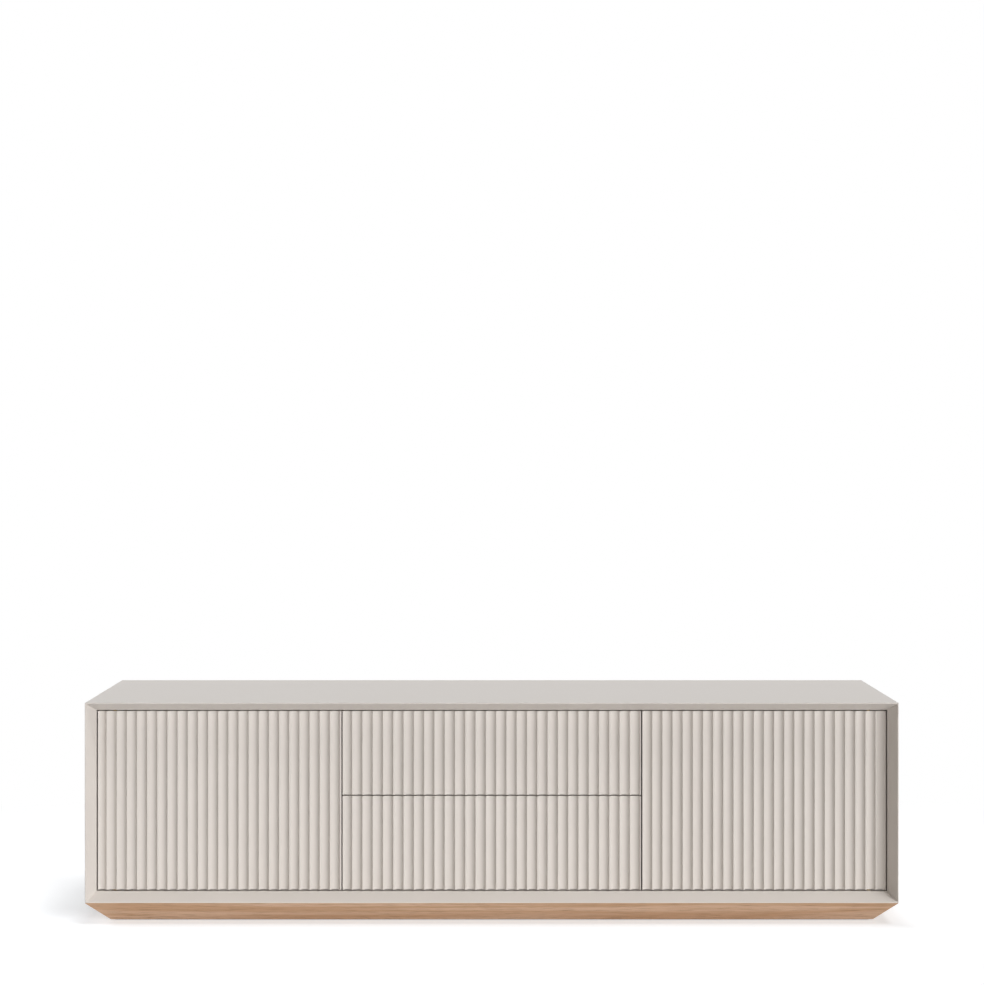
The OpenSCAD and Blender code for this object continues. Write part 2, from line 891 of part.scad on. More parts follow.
drawer_front(upper_front_z, upper_front_h, upper_box_z, upper_box_h, upper_latch_z);  // upper_drawer_front
drawer_side(-1, upper_box_z, upper_box_h, upper_runner_z);  // upper_drawer_left_side
drawer_side(1, upper_box_z, upper_box_h, upper_runner_z);  // upper_drawer_right_side
drawer_box_front(upper_box_z, upper_box_h);  // upper_drawer_box_front
drawer_back(upper_box_z, upper_box_h);  // upper_drawer_back
drawer_bottom(upper_box_z);  // upper_drawer_bottom
drawer_members(upper_runner_z);  // upper_drawer_members
color(steel) at_drawer_latches(upper_latch_z) strike();  // upper_drawer_strikes
drawer_screws(upper_box_z, upper_box_h, upper_runner_z);  // upper_drawer_screws
drawer_front(lower_front_z, lower_front_h, lower_box_z, lower_box_h, lower_latch_z);  // lower_drawer_front
drawer_side(-1, lower_box_z, lower_box_h, lower_runner_z);  // lower_drawer_left_side
drawer_side(1, lower_box_z, lower_box_h, lower_runner_z);  // lower_drawer_right_side
drawer_box_front(lower_box_z, lower_box_h);  // lower_drawer_box_front
drawer_back(lower_box_z, lower_box_h);  // lower_drawer_back
drawer_bottom(lower_box_z);  // lower_drawer_bottom
drawer_members(lower_runner_z);  // lower_drawer_members
color(steel) at_drawer_latches(lower_latch_z) strike();  // lower_drawer_strikes
drawer_screws(lower_box_z, lower_box_h, lower_runner_z);  // lower_drawer_screws
middle_members(upper_runner_z);  // upper_middle_members
middle_members(lower_runner_z);  // lower_middle_members
ball_cages(upper_runner_z);  // upper_ball_cages
ball_cages(lower_runner_z);  // lower_ball_cages
color(dark_plastic) at_door_latch(-1) plunger();  // left_door_plunger
color(dark_plastic) at_door_latch(1) plunger();  // right_door_plunger
color(dark_plastic) at_drawer_latches(upper_latch_z) plunger();  // upper_drawer_plungers
color(dark_plastic) at_drawer_latches(lower_latch_z) plunger();  // lower_drawer_plungers
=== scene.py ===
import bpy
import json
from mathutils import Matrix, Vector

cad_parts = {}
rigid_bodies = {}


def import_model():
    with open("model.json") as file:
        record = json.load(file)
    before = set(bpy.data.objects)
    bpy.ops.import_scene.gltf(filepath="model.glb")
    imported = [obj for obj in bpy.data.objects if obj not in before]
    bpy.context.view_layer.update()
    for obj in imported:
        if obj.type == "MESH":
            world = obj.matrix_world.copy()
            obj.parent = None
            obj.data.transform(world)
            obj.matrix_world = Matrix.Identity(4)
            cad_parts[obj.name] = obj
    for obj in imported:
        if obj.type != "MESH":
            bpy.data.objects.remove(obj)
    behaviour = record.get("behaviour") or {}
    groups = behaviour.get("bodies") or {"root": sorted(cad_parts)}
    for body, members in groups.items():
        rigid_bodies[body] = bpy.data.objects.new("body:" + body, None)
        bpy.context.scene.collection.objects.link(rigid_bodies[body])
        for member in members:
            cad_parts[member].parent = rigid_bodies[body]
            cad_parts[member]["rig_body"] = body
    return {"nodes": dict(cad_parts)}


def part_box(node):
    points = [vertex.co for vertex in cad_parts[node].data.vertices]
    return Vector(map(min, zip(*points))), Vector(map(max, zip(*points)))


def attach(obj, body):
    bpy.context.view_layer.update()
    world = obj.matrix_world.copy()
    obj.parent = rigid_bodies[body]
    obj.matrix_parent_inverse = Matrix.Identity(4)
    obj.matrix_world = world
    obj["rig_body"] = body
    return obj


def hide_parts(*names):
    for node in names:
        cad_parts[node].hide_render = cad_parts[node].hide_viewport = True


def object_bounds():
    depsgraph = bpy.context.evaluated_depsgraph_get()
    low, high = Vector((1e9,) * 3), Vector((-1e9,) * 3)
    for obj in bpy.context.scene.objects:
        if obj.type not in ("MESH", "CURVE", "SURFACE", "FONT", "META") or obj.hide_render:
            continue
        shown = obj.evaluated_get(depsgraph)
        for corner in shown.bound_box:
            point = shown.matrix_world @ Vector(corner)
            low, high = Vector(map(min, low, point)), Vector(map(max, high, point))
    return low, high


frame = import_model()
cad_box = [list(corner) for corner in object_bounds()]

import json
import math

import bmesh
import bpy
from mathutils import Vector

# ---------------------------------------------------------------- the studio
# A pale seamless floor in a white room. The main light is a large diffuser off to the right, with another one
# high up, a weak one in front and one behind on the left. The camera is level and stands above the top.


def linear(hex_colour):
    """An sRGB hex colour as the linear colour that a shader takes."""
    parts = [int(hex_colour[i:i + 2], 16) / 255 for i in (1, 3, 5)]
    return (*(c / 12.92 if c <= 0.04045 else ((c + 0.055) / 1.055) ** 2.4 for c in parts), 1.0)


def add(tree, kind, inputs=None, **settings):
    """Adds one node with its settings. Each input is a value, or the output socket that feeds it."""
    node = tree.nodes.new(kind)
    for name, value in settings.items():
        setattr(node, name, value)
    for key, value in (inputs or {}).items():
        if isinstance(value, bpy.types.NodeSocket):
            tree.links.new(value, node.inputs[key])
        else:
            node.inputs[key].default_value = value
    return node


def new_material(name):
    """An empty material and its node tree."""
    material = bpy.data.materials.new(name)
    material.use_nodes = True
    material.node_tree.nodes.clear()
    return material, material.node_tree


def in_scene(name, data):
    """A new object in the scene."""
    thing = bpy.data.objects.new(name, data)
    bpy.context.scene.collection.objects.link(thing)
    return thing


bpy.context.scene.view_settings.view_transform = "Standard"

front_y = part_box("top_panel")[0].y
camera_distance, camera_height = 4.468, 0.953
camera = in_scene("camera", bpy.data.cameras.new("camera"))
camera.data.lens = 80.57
camera.data.shift_y = -0.0384
camera.location = (0.0005, front_y - camera_distance, camera_height)
camera.rotation_euler = (math.radians(90), 0, 0)
bpy.context.scene.camera = camera

# Each diffuser stands so far off that it lights the whole cabinet evenly, and what gloss mirrors is the white
# room, not the lamps. Name, degrees to the right of the cabinet's front, degrees up, width in degrees as the
# cabinet sees it, the light it throws, and its tint
for name, turn_right, up, wide, light, tint in (
    ("front_diffuser", 0, 10, 20, 0.12, (1.04, 1.0, 0.94)),
    ("corner_diffuser", 40, 10, 30, 0.7, (0.99, 1.0, 1.02)),
    ("ceiling_diffuser", 58, 70, 20, 0.33, (1.01, 1.0, 1.0)),
    ("rear_diffuser", -140, 20, 40, 0.6, (0.93, 1.0, 1.08)),
):
    lamp = in_scene(name, bpy.data.lights.new(name, "SUN"))
    lamp.data.angle = math.radians(wide)
    lamp.data.energy = math.pi * light
    lamp.data.color = tint
    lamp.visible_glossy = False
    turned, raised = math.radians(turn_right), math.radians(up)
    level = math.cos(raised)
    towards = Vector((math.sin(turned) * level, -math.cos(turned) * level, math.sin(raised)))
    lamp.rotation_euler = towards.to_track_quat("Z", "Y").to_euler()

# The room's walls give a little warm light back, and are white where they are seen or mirrored
wall_light = (0.095, 0.079, 0.061, 1.0)
room = bpy.data.worlds.new("white_room")
bpy.context.scene.world = room
room.use_nodes = True
room.node_tree.nodes.clear()
rays = add(room.node_tree, "ShaderNodeLightPath").outputs
seen = add(room.node_tree, "ShaderNodeMath",
           {0: rays["Is Camera Ray"], 1: rays["Is Glossy Ray"]}, operation="MAXIMUM").outputs[0]
seen = add(room.node_tree, "ShaderNodeMath",
           {0: seen, 1: rays["Is Transmission Ray"]}, operation="MAXIMUM").outputs[0]
walls = add(room.node_tree, "ShaderNodeMix", {0: seen, 6: wall_light, 7: (1, 1, 1, 1)},
            data_type="RGBA").outputs[2]
sky = add(room.node_tree, "ShaderNodeBackground", {"Color": walls, "Strength": 1.0})
add(room.node_tree, "ShaderNodeOutputWorld", {"Surface": sky.outputs[0]})

# Painted floor. Where it is looked at, part of its white is its own light, so that it runs into the white
# of the room and still takes the cabinet's shadow. Away from the cabinet it is white alone.
floor_paint, tree = new_material("white_floor_paint")
rays = add(tree, "ShaderNodeLightPath").outputs
seen = add(tree, "ShaderNodeMath",
           {0: rays["Is Camera Ray"], 1: rays["Is Glossy Ray"]}, operation="MAXIMUM").outputs[0]
lit = add(tree, "ShaderNodeBsdfDiffuse", {"Color": linear("#E4E4E4")})
caught = add(tree, "ShaderNodeBsdfDiffuse", {"Color": linear("#C7CACE")})
place = add(tree, "ShaderNodeTexCoord").outputs["Object"]
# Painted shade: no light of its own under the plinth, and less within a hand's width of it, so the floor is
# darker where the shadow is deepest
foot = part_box("glides")[1]
plan = add(tree, "ShaderNodeVectorMath", {0: place}, operation="ABSOLUTE").outputs[0]
plan = add(tree, "ShaderNodeVectorMath", {0: plan, 1: (foot.x, foot.y, 0)},
           operation="SUBTRACT").outputs[0]
beyond = add(tree, "ShaderNodeSeparateXYZ", {0: plan}).outputs
past_foot = add(tree, "ShaderNodeMath", {0: beyond["X"], 1: beyond["Y"]}, operation="MAXIMUM").outputs[0]
own_by_foot, own_further_out = 0.54, 0.13
clear = add(tree, "ShaderNodeMapRange", {"Value": past_foot, "From Min": 0.0, "From Max": 0.002,
                                         "To Max": own_by_foot})
open_floor = add(tree, "ShaderNodeMapRange", {"Value": past_foot, "From Min": 0.055, "From Max": 0.1,
                                              "To Max": own_further_out})
own = add(tree, "ShaderNodeMath", {0: clear.outputs[0], 1: open_floor.outputs[0]},
          operation="ADD").outputs[0]
# Painted shadow: as the light comes from the right, the floor's own light is dimmed close along the left end.
# The dimming grows from the front corner, runs out towards the back one, and ends two hands' widths past the
# foot
end_shadow = 0.2
spot = add(tree, "ShaderNodeSeparateXYZ", {0: place}).outputs
painted_shadow = add(tree, "ShaderNodeMath", {0: spot["X"], 1: 0.0}, operation="LESS_THAN").outputs[0]
for value, start, end, at_start, at_end in (
    (spot["Y"], -0.18, -0.06, 0.0, end_shadow),
    (spot["Y"], 0.14, 0.24, 1.0, 0.0),
    (beyond["X"], 0.1, 0.19, 1.0, 0.0),
):
    share = add(tree, "ShaderNodeMapRange", {"Value": value, "From Min": start, "From Max": end,
                                             "To Min": at_start, "To Max": at_end}).outputs[0]
    painted_shadow = add(tree, "ShaderNodeMath", {0: painted_shadow, 1: share}, operation="MULTIPLY").outputs[0]
kept = add(tree, "ShaderNodeMath", {0: 1.0, 1: painted_shadow}, operation="SUBTRACT").outputs[0]
own = add(tree, "ShaderNodeMath", {0: own, 1: kept}, operation="MULTIPLY").outputs[0]
glow = add(tree, "ShaderNodeEmission", {"Color": (1, 1, 1, 1), "Strength": own})
near = add(tree, "ShaderNodeAddShader", {0: caught.outputs[0], 1: glow.outputs[0]})
white = add(tree, "ShaderNodeEmission", {"Color": (1, 1, 1, 1), "Strength": 1.0})
# The shadow is caught over the cabinet's own plan and about a metre round it, in an oval
oval = (0.62, 1.0, 1.0)
plan = add(tree, "ShaderNodeVectorMath", {0: place, 1: oval}, operation="MULTIPLY").outputs[0]
away = add(tree, "ShaderNodeVectorMath", {0: plan}, operation="LENGTH").outputs["Value"]
far = add(tree, "ShaderNodeMapRange", {"Value": away, "From Min": 0.75, "From Max": 1.5},
          interpolation_type="SMOOTHSTEP").outputs[0]
shown = add(tree, "ShaderNodeMixShader", {0: far, 1: near.outputs[0], 2: white.outputs[0]})
either = add(tree, "ShaderNodeMixShader", {0: seen, 1: lit.outputs[0], 2: shown.outputs[0]})
add(tree, "ShaderNodeOutputMaterial", {"Surface": either.outputs[0]})
reach = 12.0
ground = bpy.data.meshes.new("floor")
ground.from_pydata([(-reach, -reach, 0), (reach, -reach, 0), (reach, reach, 0), (-reach, reach, 0)],
                   [], [(0, 1, 2, 3)])
ground.materials.append(floor_paint)
in_scene("floor", ground)

# ---------------------------------------------------------------- the carcase boards
# Four boards of 18 mm MDF, mitred at the corners and bevelled along the front, glued up, eased with fine
# paper and sprayed with a satin greige lacquer. Partitions, back panel and shelves have the same finish.

satin_lacquer, tree = new_material("sprayed_satin_lacquer")
place = add(tree, "ShaderNodeTexCoord").outputs["Object"]
# The coat levels into an orange peel of about 3 mm, and its tint drifts by a hair over a hand's width
peel = add(tree, "ShaderNodeTexNoise", {"Vector": place, "Scale": 340.0, "Detail": 2.0, "Roughness": 0.5})
drift = add(tree, "ShaderNodeTexNoise", {"Vector": place, "Scale": 7.0, "Detail": 3.0, "Roughness": 0.6})
tint = add(tree, "ShaderNodeMix", {0: drift.outputs["Fac"], 6: linear("#D0CAC4"), 7: linear("#D5CFC9")},
           data_type="RGBA")
# Painted highlight: the rounded arrises are drawn paler than the coat, as if they caught more light
painted_highlight = add(tree, "ShaderNodeAttribute", attribute_name="painted_highlight").outputs["Fac"]
tint = add(tree, "ShaderNodeMix", {0: painted_highlight, 6: tint.outputs[2], 7: linear("#F2EDE6")}, data_type="RGBA")
gloss = add(tree, "ShaderNodeMapRange", {"Value": drift.outputs["Fac"], "To Min": 0.38, "To Max": 0.46})
skin = add(tree, "ShaderNodeBump", {"Height": peel.outputs["Fac"], "Strength": 0.12, "Distance": 0.0002})
coat = add(tree, "ShaderNodeBsdfPrincipled", {
    "Base Color": tint.outputs[2], "Roughness": gloss.outputs[0], "IOR": 1.5, "Normal": skin.outputs[0]})
add(tree, "ShaderNodeOutputMaterial", {"Surface": coat.outputs[0]})

# A fold sharper than FOLD is an arris, one sharper than CREASE stays sharp in the shading, and points closer
# than WELD are one point, as points within TOUCH of a face lie on it
FOLD, CREASE = math.radians(25), math.radians(40)
WELD, TOUCH = 2e-6, 1e-5


def merged(node):
    """A CAD node's mesh as whole flat faces, ready to be worked."""
    shape = bmesh.new()
    shape.from_mesh(frame["nodes"][node].data)
    bmesh.ops.remove_doubles(shape, verts=shape.verts, dist=WELD)
    bmesh.ops.dissolve_limit(shape, angle_limit=0.01, verts=shape.verts, edges=shape.edges)
    return shape


def mitred(face):
    """A mitre faces half way between two axes, within a quarter of a degree."""
    near_none, near_same = 0.003, 0.004
    low, middle, high = sorted(abs(part) for part in face.normal)
    return low < near_none and high - middle < near_same


def round_over(shape, arrises, radius, segments):
    """Rounds arrises and marks the points on their crowns for the painted highlight."""
    painted_highlight = shape.verts.layers.float.get("painted_highlight") or shape.verts.layers.float.new("painted_highlight")
    crowns = set(bmesh.ops.bevel(shape, geom=arrises, offset=radius, segments=segments, profile=0.5,
                                 affect="EDGES")["faces"])
    for vert in shape.verts:
        if all(face in crowns for face in vert.link_faces):
            vert[painted_highlight] = 1.0
    return shape


def ease(shape, radius):
    """Rounds the long outer edges, and leaves the glued mitres and the rims of small holes sharp."""
    arrises = [e for e in shape.edges
               if e.is_manifold and e.is_convex and e.calc_length() > 6 * radius
               and e.calc_face_angle() > FOLD and not any(mitred(f) for f in e.link_faces)]
    return round_over(shape, arrises, radius, 3)


def soften_rim(shape, radius):
    """Rounds the outer arrises of the front rim, which are handled most, further than the rest."""
    low, high = cad_box
    rim = [e for e in shape.edges
           if all(v.co.y < low[1] + TOUCH for v in e.verts)
           and any(all(abs(v.co[i] - side) < TOUCH for v in e.verts)
                   for i, side in ((0, low[0]), (0, high[0]), (2, high[2]), (2, carcase_low)))]
    return round_over(shape, rim, radius, 4)


def plain_mesh(piece):
    """Bakes a piece's modifiers into its mesh and removes them."""
    depsgraph = bpy.context.evaluated_depsgraph_get()
    result = bpy.data.meshes.new_from_object(piece.evaluated_get(depsgraph), depsgraph=depsgraph)
    piece.modifiers.clear()
    piece.data = result
    return piece


def solid(name, shape, finish):
    """A worked shape as a piece: smooth faces that stay flat between their rounded edges."""
    for face in shape.faces:
        face.smooth = True
    for edge in shape.edges:
        edge.smooth = edge.is_manifold and edge.calc_face_angle() < CREASE
    mesh = bpy.data.meshes.new(name)
    shape.to_mesh(mesh)
    shape.free()
    mesh.materials.append(finish)
    piece = in_scene(name, mesh)
    piece.modifiers.new("flat_faces", "WEIGHTED_NORMAL").keep_sharp = True
    return plain_mesh(piece)


def stands_for(piece, *nodes):
    """The piece rides where its CAD nodes ride and is shown in their place."""
    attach(piece, frame["nodes"][nodes[0]]["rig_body"])
    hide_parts(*nodes)
    return piece


# The glued corners are rounded to 1 mm over both boards
corner_r = 0.001
low, high = cad_box
carcase_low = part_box("bottom_panel")[0].z
centre_z = (carcase_low + high[2]) / 2
flat_x, flat_z = high[0] - corner_r, (high[2] - carcase_low) / 2 - corner_r


def round_corners(shape):
    """Cuts the boards across where the rounding starts and half way, and swings the corner's points in."""
    for normal, middle, flat in (((1, 0, 0), 0.0, flat_x), ((0, 0, 1), centre_z, flat_z)):
        for out in (flat, flat + corner_r / 2):
            for side in (-1, 1):
                bmesh.ops.bisect_plane(shape, geom=shape.verts[:] + shape.edges[:] + shape.faces[:],
                                       plane_co=(middle + side * out) * Vector(normal), plane_no=normal,
                                       dist=1e-7)
    for vert in shape.verts:
        across, up = abs(vert.co.x) - flat_x, abs(vert.co.z - centre_z) - flat_z
        if across > 0 and up > 0:
            far = max(across, up)
            turn = math.pi / 4 * (across / far if across < up else 2 - up / far)
            vert.co.x = math.copysign(flat_x + far * math.sin(turn), vert.co.x)
            vert.co.z = centre_z + math.copysign(flat_z + far * math.cos(turn), vert.co.z - centre_z)
    return shape


rim_r, board_r = 0.0013, 0.0006
for node in ("top_panel", "bottom_panel", "left_side", "right_side"):
    board = ease(soften_rim(merged(node), rim_r), board_r)
    stands_for(solid(f"{node}_board", round_corners(board), satin_lacquer), node)
for node in ("left_partition", "right_partition", "left_shelf", "right_shelf", "back_panel"):
    stands_for(solid(f"{node}_board", ease(merged(node), board_r), satin_lacquer), node)

# ---------------------------------------------------------------- splines and dowels
# Birch tongues glued across the four mitres, and 8 mm birch dowels under and over the partitions. All of
# them are hidden in the boards.

solid_birch, tree = new_material("planed_birch")
grain = add(tree, "ShaderNodeAttribute", attribute_name="wood").outputs["Vector"]
# Birch has a close, even figure: fibres a few tenths of a millimetre wide and tens of millimetres long
drawn = add(tree, "ShaderNodeVectorMath", {0: grain, 1: (9.0, 260.0, 260.0)}, operation="MULTIPLY").outputs[0]
fibres = add(tree, "ShaderNodeTexNoise", {"Vector": drawn, "Scale": 1.0, "Detail": 4.0, "Roughness": 0.6})
tint = add(tree, "ShaderNodeMix", {0: fibres.outputs["Fac"], 6: linear("#DBC7A6"), 7: linear("#E8D9BE")},
           data_type="RGBA")
skin = add(tree, "ShaderNodeBump", {"Height": fibres.outputs["Fac"], "Strength": 0.2, "Distance": 0.0002})
planed = add(tree, "ShaderNodeBsdfPrincipled", {
    "Base Color": tint.outputs[2], "Roughness": 0.55, "IOR": 1.5, "Normal": skin.outputs[0]})
add(tree, "ShaderNodeOutputMaterial", {"Surface": planed.outputs[0]})


def with_grain(shape, along, through):
    """Stores where each point lies in its board: along the grain, across it, and in from the face."""
    wood = shape.verts.layers.float_vector.new("wood")
    face = min(vert.co[through] for vert in shape.verts)
    across = 3 - along - through
    for vert in shape.verts:
        vert[wood] = (vert.co[along], vert.co[across], vert.co[through] - face)
    return shape


X, Y, Z = range(3)
for node, along in (("corner_splines", Y), ("partition_dowels", Z)):
    stands_for(solid(f"{node}_birch", with_grain(merged(node), along, X), solid_birch), node)

# ---------------------------------------------------------------- the plinth
# Solid oak rails, mitred and sloping in towards the floor, oiled matt. Birch cross rails and glued corner
# blocks stiffen them, screws go up through these into the bottom board, and six glides take the weight.

oiled_oak, tree = new_material("oiled_oak")
grain = add(tree, "ShaderNodeAttribute", attribute_name="wood").outputs["Vector"]
# Growth rings cut lengthways: bands about 5 mm apart that wander over a metre
wander = add(tree, "ShaderNodeVectorMath", {0: grain, 1: (0.9, 26.0, 26.0)}, operation="MULTIPLY").outputs[0]
rings = add(tree, "ShaderNodeTexNoise", {"Vector": wander, "Scale": 1.0, "Detail": 2.0, "Roughness": 0.5,
                                         "Distortion": 0.15})
bands = add(tree, "ShaderNodeMath", {0: rings.outputs["Fac"], 1: 9.0}, operation="MULTIPLY").outputs[0]
bands = add(tree, "ShaderNodeMath", {0: bands, 1: 1.0}, operation="PINGPONG").outputs[0]
# Pores: dark dashes 0.3 mm wide in rows, drawn 0.8 mm wide and 30 mm long so that they show
dashes = add(tree, "ShaderNodeVectorMath", {0: grain, 1: (22.0, 1100.0, 1100.0)},
             operation="MULTIPLY").outputs[0]
pores = add(tree, "ShaderNodeTexNoise", {"Vector": dashes, "Scale": 1.0, "Detail": 2.0, "Roughness": 0.5})
pore = add(tree, "ShaderNodeMapRange", {"Value": pores.outputs["Fac"], "From Min": 0.56, "From Max": 0.68})
early = add(tree, "ShaderNodeMix", {0: bands, 6: linear("#DBBBA0"), 7: linear("#C69F7D")}, data_type="RGBA")
oak_tone = add(tree, "ShaderNodeMix", {0: pore.outputs[0], 6: early.outputs[2], 7: linear("#9B7958")},
               data_type="RGBA")
relief = add(tree, "ShaderNodeMath", {0: 1.0, 1: pore.outputs[0]}, operation="SUBTRACT").outputs[0]
skin = add(tree, "ShaderNodeBump", {"Height": relief, "Strength": 0.25, "Distance": 0.0003})
oiled = add(tree, "ShaderNodeBsdfPrincipled", {
    "Base Color": oak_tone.outputs[2], "Roughness": 0.55, "IOR": 1.5, "Normal": skin.outputs[0]})
add(tree, "ShaderNodeOutputMaterial", {"Surface": oiled.outputs[0]})

rail_r = 0.0008
for node, along, through in (("plinth_front", X, Y), ("plinth_back", X, Y),
                             ("plinth_left", Y, X), ("plinth_right", Y, X)):
    rail = with_grain(ease(merged(node), rail_r), along, through)
    stands_for(solid(f"{node}_rail", rail, oiled_oak), node)
for node, along in (("plinth_cross_rails", Y), ("plinth_corner_blocks", X)):
    rail = with_grain(ease(merged(node), rail_r), along, Z)
    stands_for(solid(f"{node}_birch", rail, solid_birch), node)

# ---------------------------------------------------------------- screws
# Zinc-plated steel wood screws with a cross recess: countersunk ones in the hardware, drawers and plinth,
# pan-headed ones round the back panel. Each stops at its own turn.

zinc_plate, tree = new_material("zinc_plated_steel")
place = add(tree, "ShaderNodeTexCoord").outputs["Object"]
# Bright zinc has a faint cloudy bloom, a few millimetres across
bloom = add(tree, "ShaderNodeTexNoise", {"Vector": place, "Scale": 220.0, "Detail": 3.0, "Roughness": 0.6})
tint = add(tree, "ShaderNodeMix", {0: bloom.outputs["Fac"], 6: linear("#9DA1A5"), 7: linear("#B7BABC")},
           data_type="RGBA")
gloss = add(tree, "ShaderNodeMapRange", {"Value": bloom.outputs["Fac"], "To Min": 0.26, "To Max": 0.4})
plated = add(tree, "ShaderNodeBsdfPrincipled", {
    "Base Color": tint.outputs[2], "Metallic": 1.0, "Roughness": gloss.outputs[0]})
add(tree, "ShaderNodeOutputMaterial", {"Surface": plated.outputs[0]})


def new_tree(name, *sockets):
    """A Geometry Nodes tree with its named inputs, and those inputs by name."""
    tree = bpy.data.node_groups.new(name, "GeometryNodeTree")
    for label, kind in sockets:
        tree.interface.new_socket(name=label, in_out="INPUT", socket_type=f"NodeSocket{kind}")
    tree.interface.new_socket(name="Result", in_out="OUTPUT", socket_type="NodeSocketGeometry")
    return tree, add(tree, "NodeGroupInput").outputs


def made_by(tree, name, start=None, **sizes):
    """Runs a tree over a starting mesh and gives its result as a plain piece."""
    piece = in_scene(name, start or bpy.data.meshes.new(name))
    nodes = piece.modifiers.new(tree.name, "NODES")
    nodes.node_group = tree
    for item in tree.interface.items_tree:
        if item.in_out == "INPUT" and item.name.replace(" ", "_").lower() in sizes:
            nodes[item.identifier] = sizes[item.name.replace(" ", "_").lower()]
    plain_mesh(piece)
    # The starting mesh had no finish: its empty slot goes, and the tree's own finish stays
    slots = piece.data.materials
    for i in reversed([i for i, finish in enumerate(slots) if finish is None]):
        slots.pop(index=i)
    return piece


# Sets one piece on each point, with its own Z along the point's axis and a random turn about it
setting, given = new_tree("set_in_place", ("Points", "Geometry"), ("Piece", "Geometry"), ("Turn", "Float"),
                          ("Seed", "Int"), ("Finish", "Material"))
axis = add(setting, "GeometryNodeInputNamedAttribute", {"Name": "axis"}, data_type="FLOAT_VECTOR").outputs[0]
upright = add(setting, "FunctionNodeAlignRotationToVector", {"Vector": axis}, axis="Z").outputs[0]
spin = add(setting, "FunctionNodeRandomValue", {2: 0.0, 3: given["Turn"], 8: given["Seed"]},
           data_type="FLOAT").outputs[1]
spun = add(setting, "FunctionNodeAxisAngleToRotation", {"Axis": (0, 0, 1), "Angle": spin}).outputs[0]
turned = add(setting, "FunctionNodeRotateRotation", {0: upright, 1: spun}, rotation_space="LOCAL").outputs[0]
placed = add(setting, "GeometryNodeInstanceOnPoints",
             {"Points": given["Points"], "Instance": given["Piece"], "Rotation": turned}).outputs[0]
real = add(setting, "GeometryNodeRealizeInstances", {"Geometry": placed}).outputs[0]
painted = add(setting, "GeometryNodeSetMaterial", {"Geometry": real, "Material": given["Finish"]}).outputs[0]
add(setting, "NodeGroupOutput", {"Result": painted})

screws, given = new_tree(
    "cross_head_screws", ("Points", "Geometry"), ("Head Radius", "Float"), ("Head Height", "Float"),
    ("Shank Radius", "Float"), ("Length", "Float"), ("Dome", "Float"), ("Cross Width", "Float"),
    ("Cross Length", "Float"), ("Cross Depth", "Float"), ("Seed", "Int"), ("Finish", "Material"))
# The head is a stack of rings one unit high, shaped by how far up the head each ring is
into_head = 0.0003
blank = add(screws, "GeometryNodeMeshCylinder", {
    "Vertices": 32, "Side Segments": 6, "Fill Segments": 1, "Radius": 1.0, "Depth": 1.0}).outputs[0]
place = add(screws, "GeometryNodeInputPosition").outputs[0]
place = add(screws, "ShaderNodeSeparateXYZ", {0: place}).outputs
known = {socket.name: socket for socket in given} | {axis: place[axis] for axis in "XYZ"}
for result, operation, *values in (
    ("share", "ADD", "Z", 0.5),                      # 0 at the bottom of the head and 1 at its top
    ("cube", "POWER", "share", 3.0),
    ("left", "SUBTRACT", 1.0, "cube"),
    ("domed", "SQRT", "left"),
    ("taper", "SUBTRACT", "Head Radius", "Shank Radius"),
    ("cone", "MULTIPLY_ADD", "taper", "share", "Shank Radius"),
    ("cap", "MULTIPLY", "Head Radius", "domed"),
    ("flat", "SUBTRACT", 1.0, "Dome"),
    ("cone part", "MULTIPLY", "cone", "flat"),
    ("radius", "MULTIPLY_ADD", "cap", "Dome", "cone part"),
    ("x", "MULTIPLY", "X", "radius"),
    ("y", "MULTIPLY", "Y", "radius"),
    # A countersunk head hangs below the surface and a pan head stands on it
    ("drop", "SUBTRACT", "share", "flat"),
    ("height", "MULTIPLY", "drop", "Head Height"),
    ("top", "MULTIPLY", "Dome", "Head Height"),
    ("deep", "MULTIPLY", "Cross Depth", 2.0),
    # The shank runs a little way into the head
    ("under", "SUBTRACT", "Length", "Head Height"),
    ("run", "ADD", "under", into_head),
    ("seat", "SUBTRACT", "top", "Head Height"),
    ("start", "ADD", "seat", into_head),
    ("middle", "MULTIPLY_ADD", "run", -0.5, "start"),
):
    known[result] = add(screws, "ShaderNodeMath", {i: known.get(v, v) for i, v in enumerate(values)},
                        operation=operation).outputs[0]
spot = add(screws, "ShaderNodeCombineXYZ", {0: known["x"], 1: known["y"], 2: known["height"]}).outputs[0]
head = add(screws, "GeometryNodeSetPosition", {"Geometry": blank, "Position": spot}).outputs[0]
head = add(screws, "GeometryNodeMergeByDistance", {"Geometry": head, "Distance": 1e-6}).outputs[0]
over = add(screws, "ShaderNodeCombineXYZ", {2: known["top"]}).outputs[0]
# The driver's cross is cut one bar after the other
recessed = head
for sides in (("Cross Length", "Cross Width"), ("Cross Width", "Cross Length")):
    size = add(screws, "ShaderNodeCombineXYZ",
               {0: given[sides[0]], 1: given[sides[1]], 2: known["deep"]}).outputs[0]
    bar = add(screws, "GeometryNodeMeshCube", {"Size": size}).outputs[0]
    bar = add(screws, "GeometryNodeTransform", {"Geometry": bar, "Translation": over}).outputs[0]
    recessed = add(screws, "GeometryNodeMeshBoolean", {0: recessed, 1: bar}, operation="DIFFERENCE",
                   solver="EXACT").outputs[0]
down = add(screws, "ShaderNodeCombineXYZ", {2: known["middle"]}).outputs[0]
shank = add(screws, "GeometryNodeMeshCylinder", {
    "Vertices": 16, "Radius": given["Shank Radius"], "Depth": known["run"]}).outputs[0]
shank = add(screws, "GeometryNodeTransform", {"Geometry": shank, "Translation": down}).outputs[0]
whole = add(screws, "GeometryNodeJoinGeometry")
for part in (recessed, shank):
    screws.links.new(part, whole.inputs[0])
placed = add(screws, "GeometryNodeGroup", {
    "Points": given["Points"], "Piece": whole.outputs[0], "Turn": math.tau / 4, "Seed": given["Seed"],
    "Finish": given["Finish"]}, node_tree=setting)
add(screws, "NodeGroupOutput", {"Result": placed.outputs[0]})


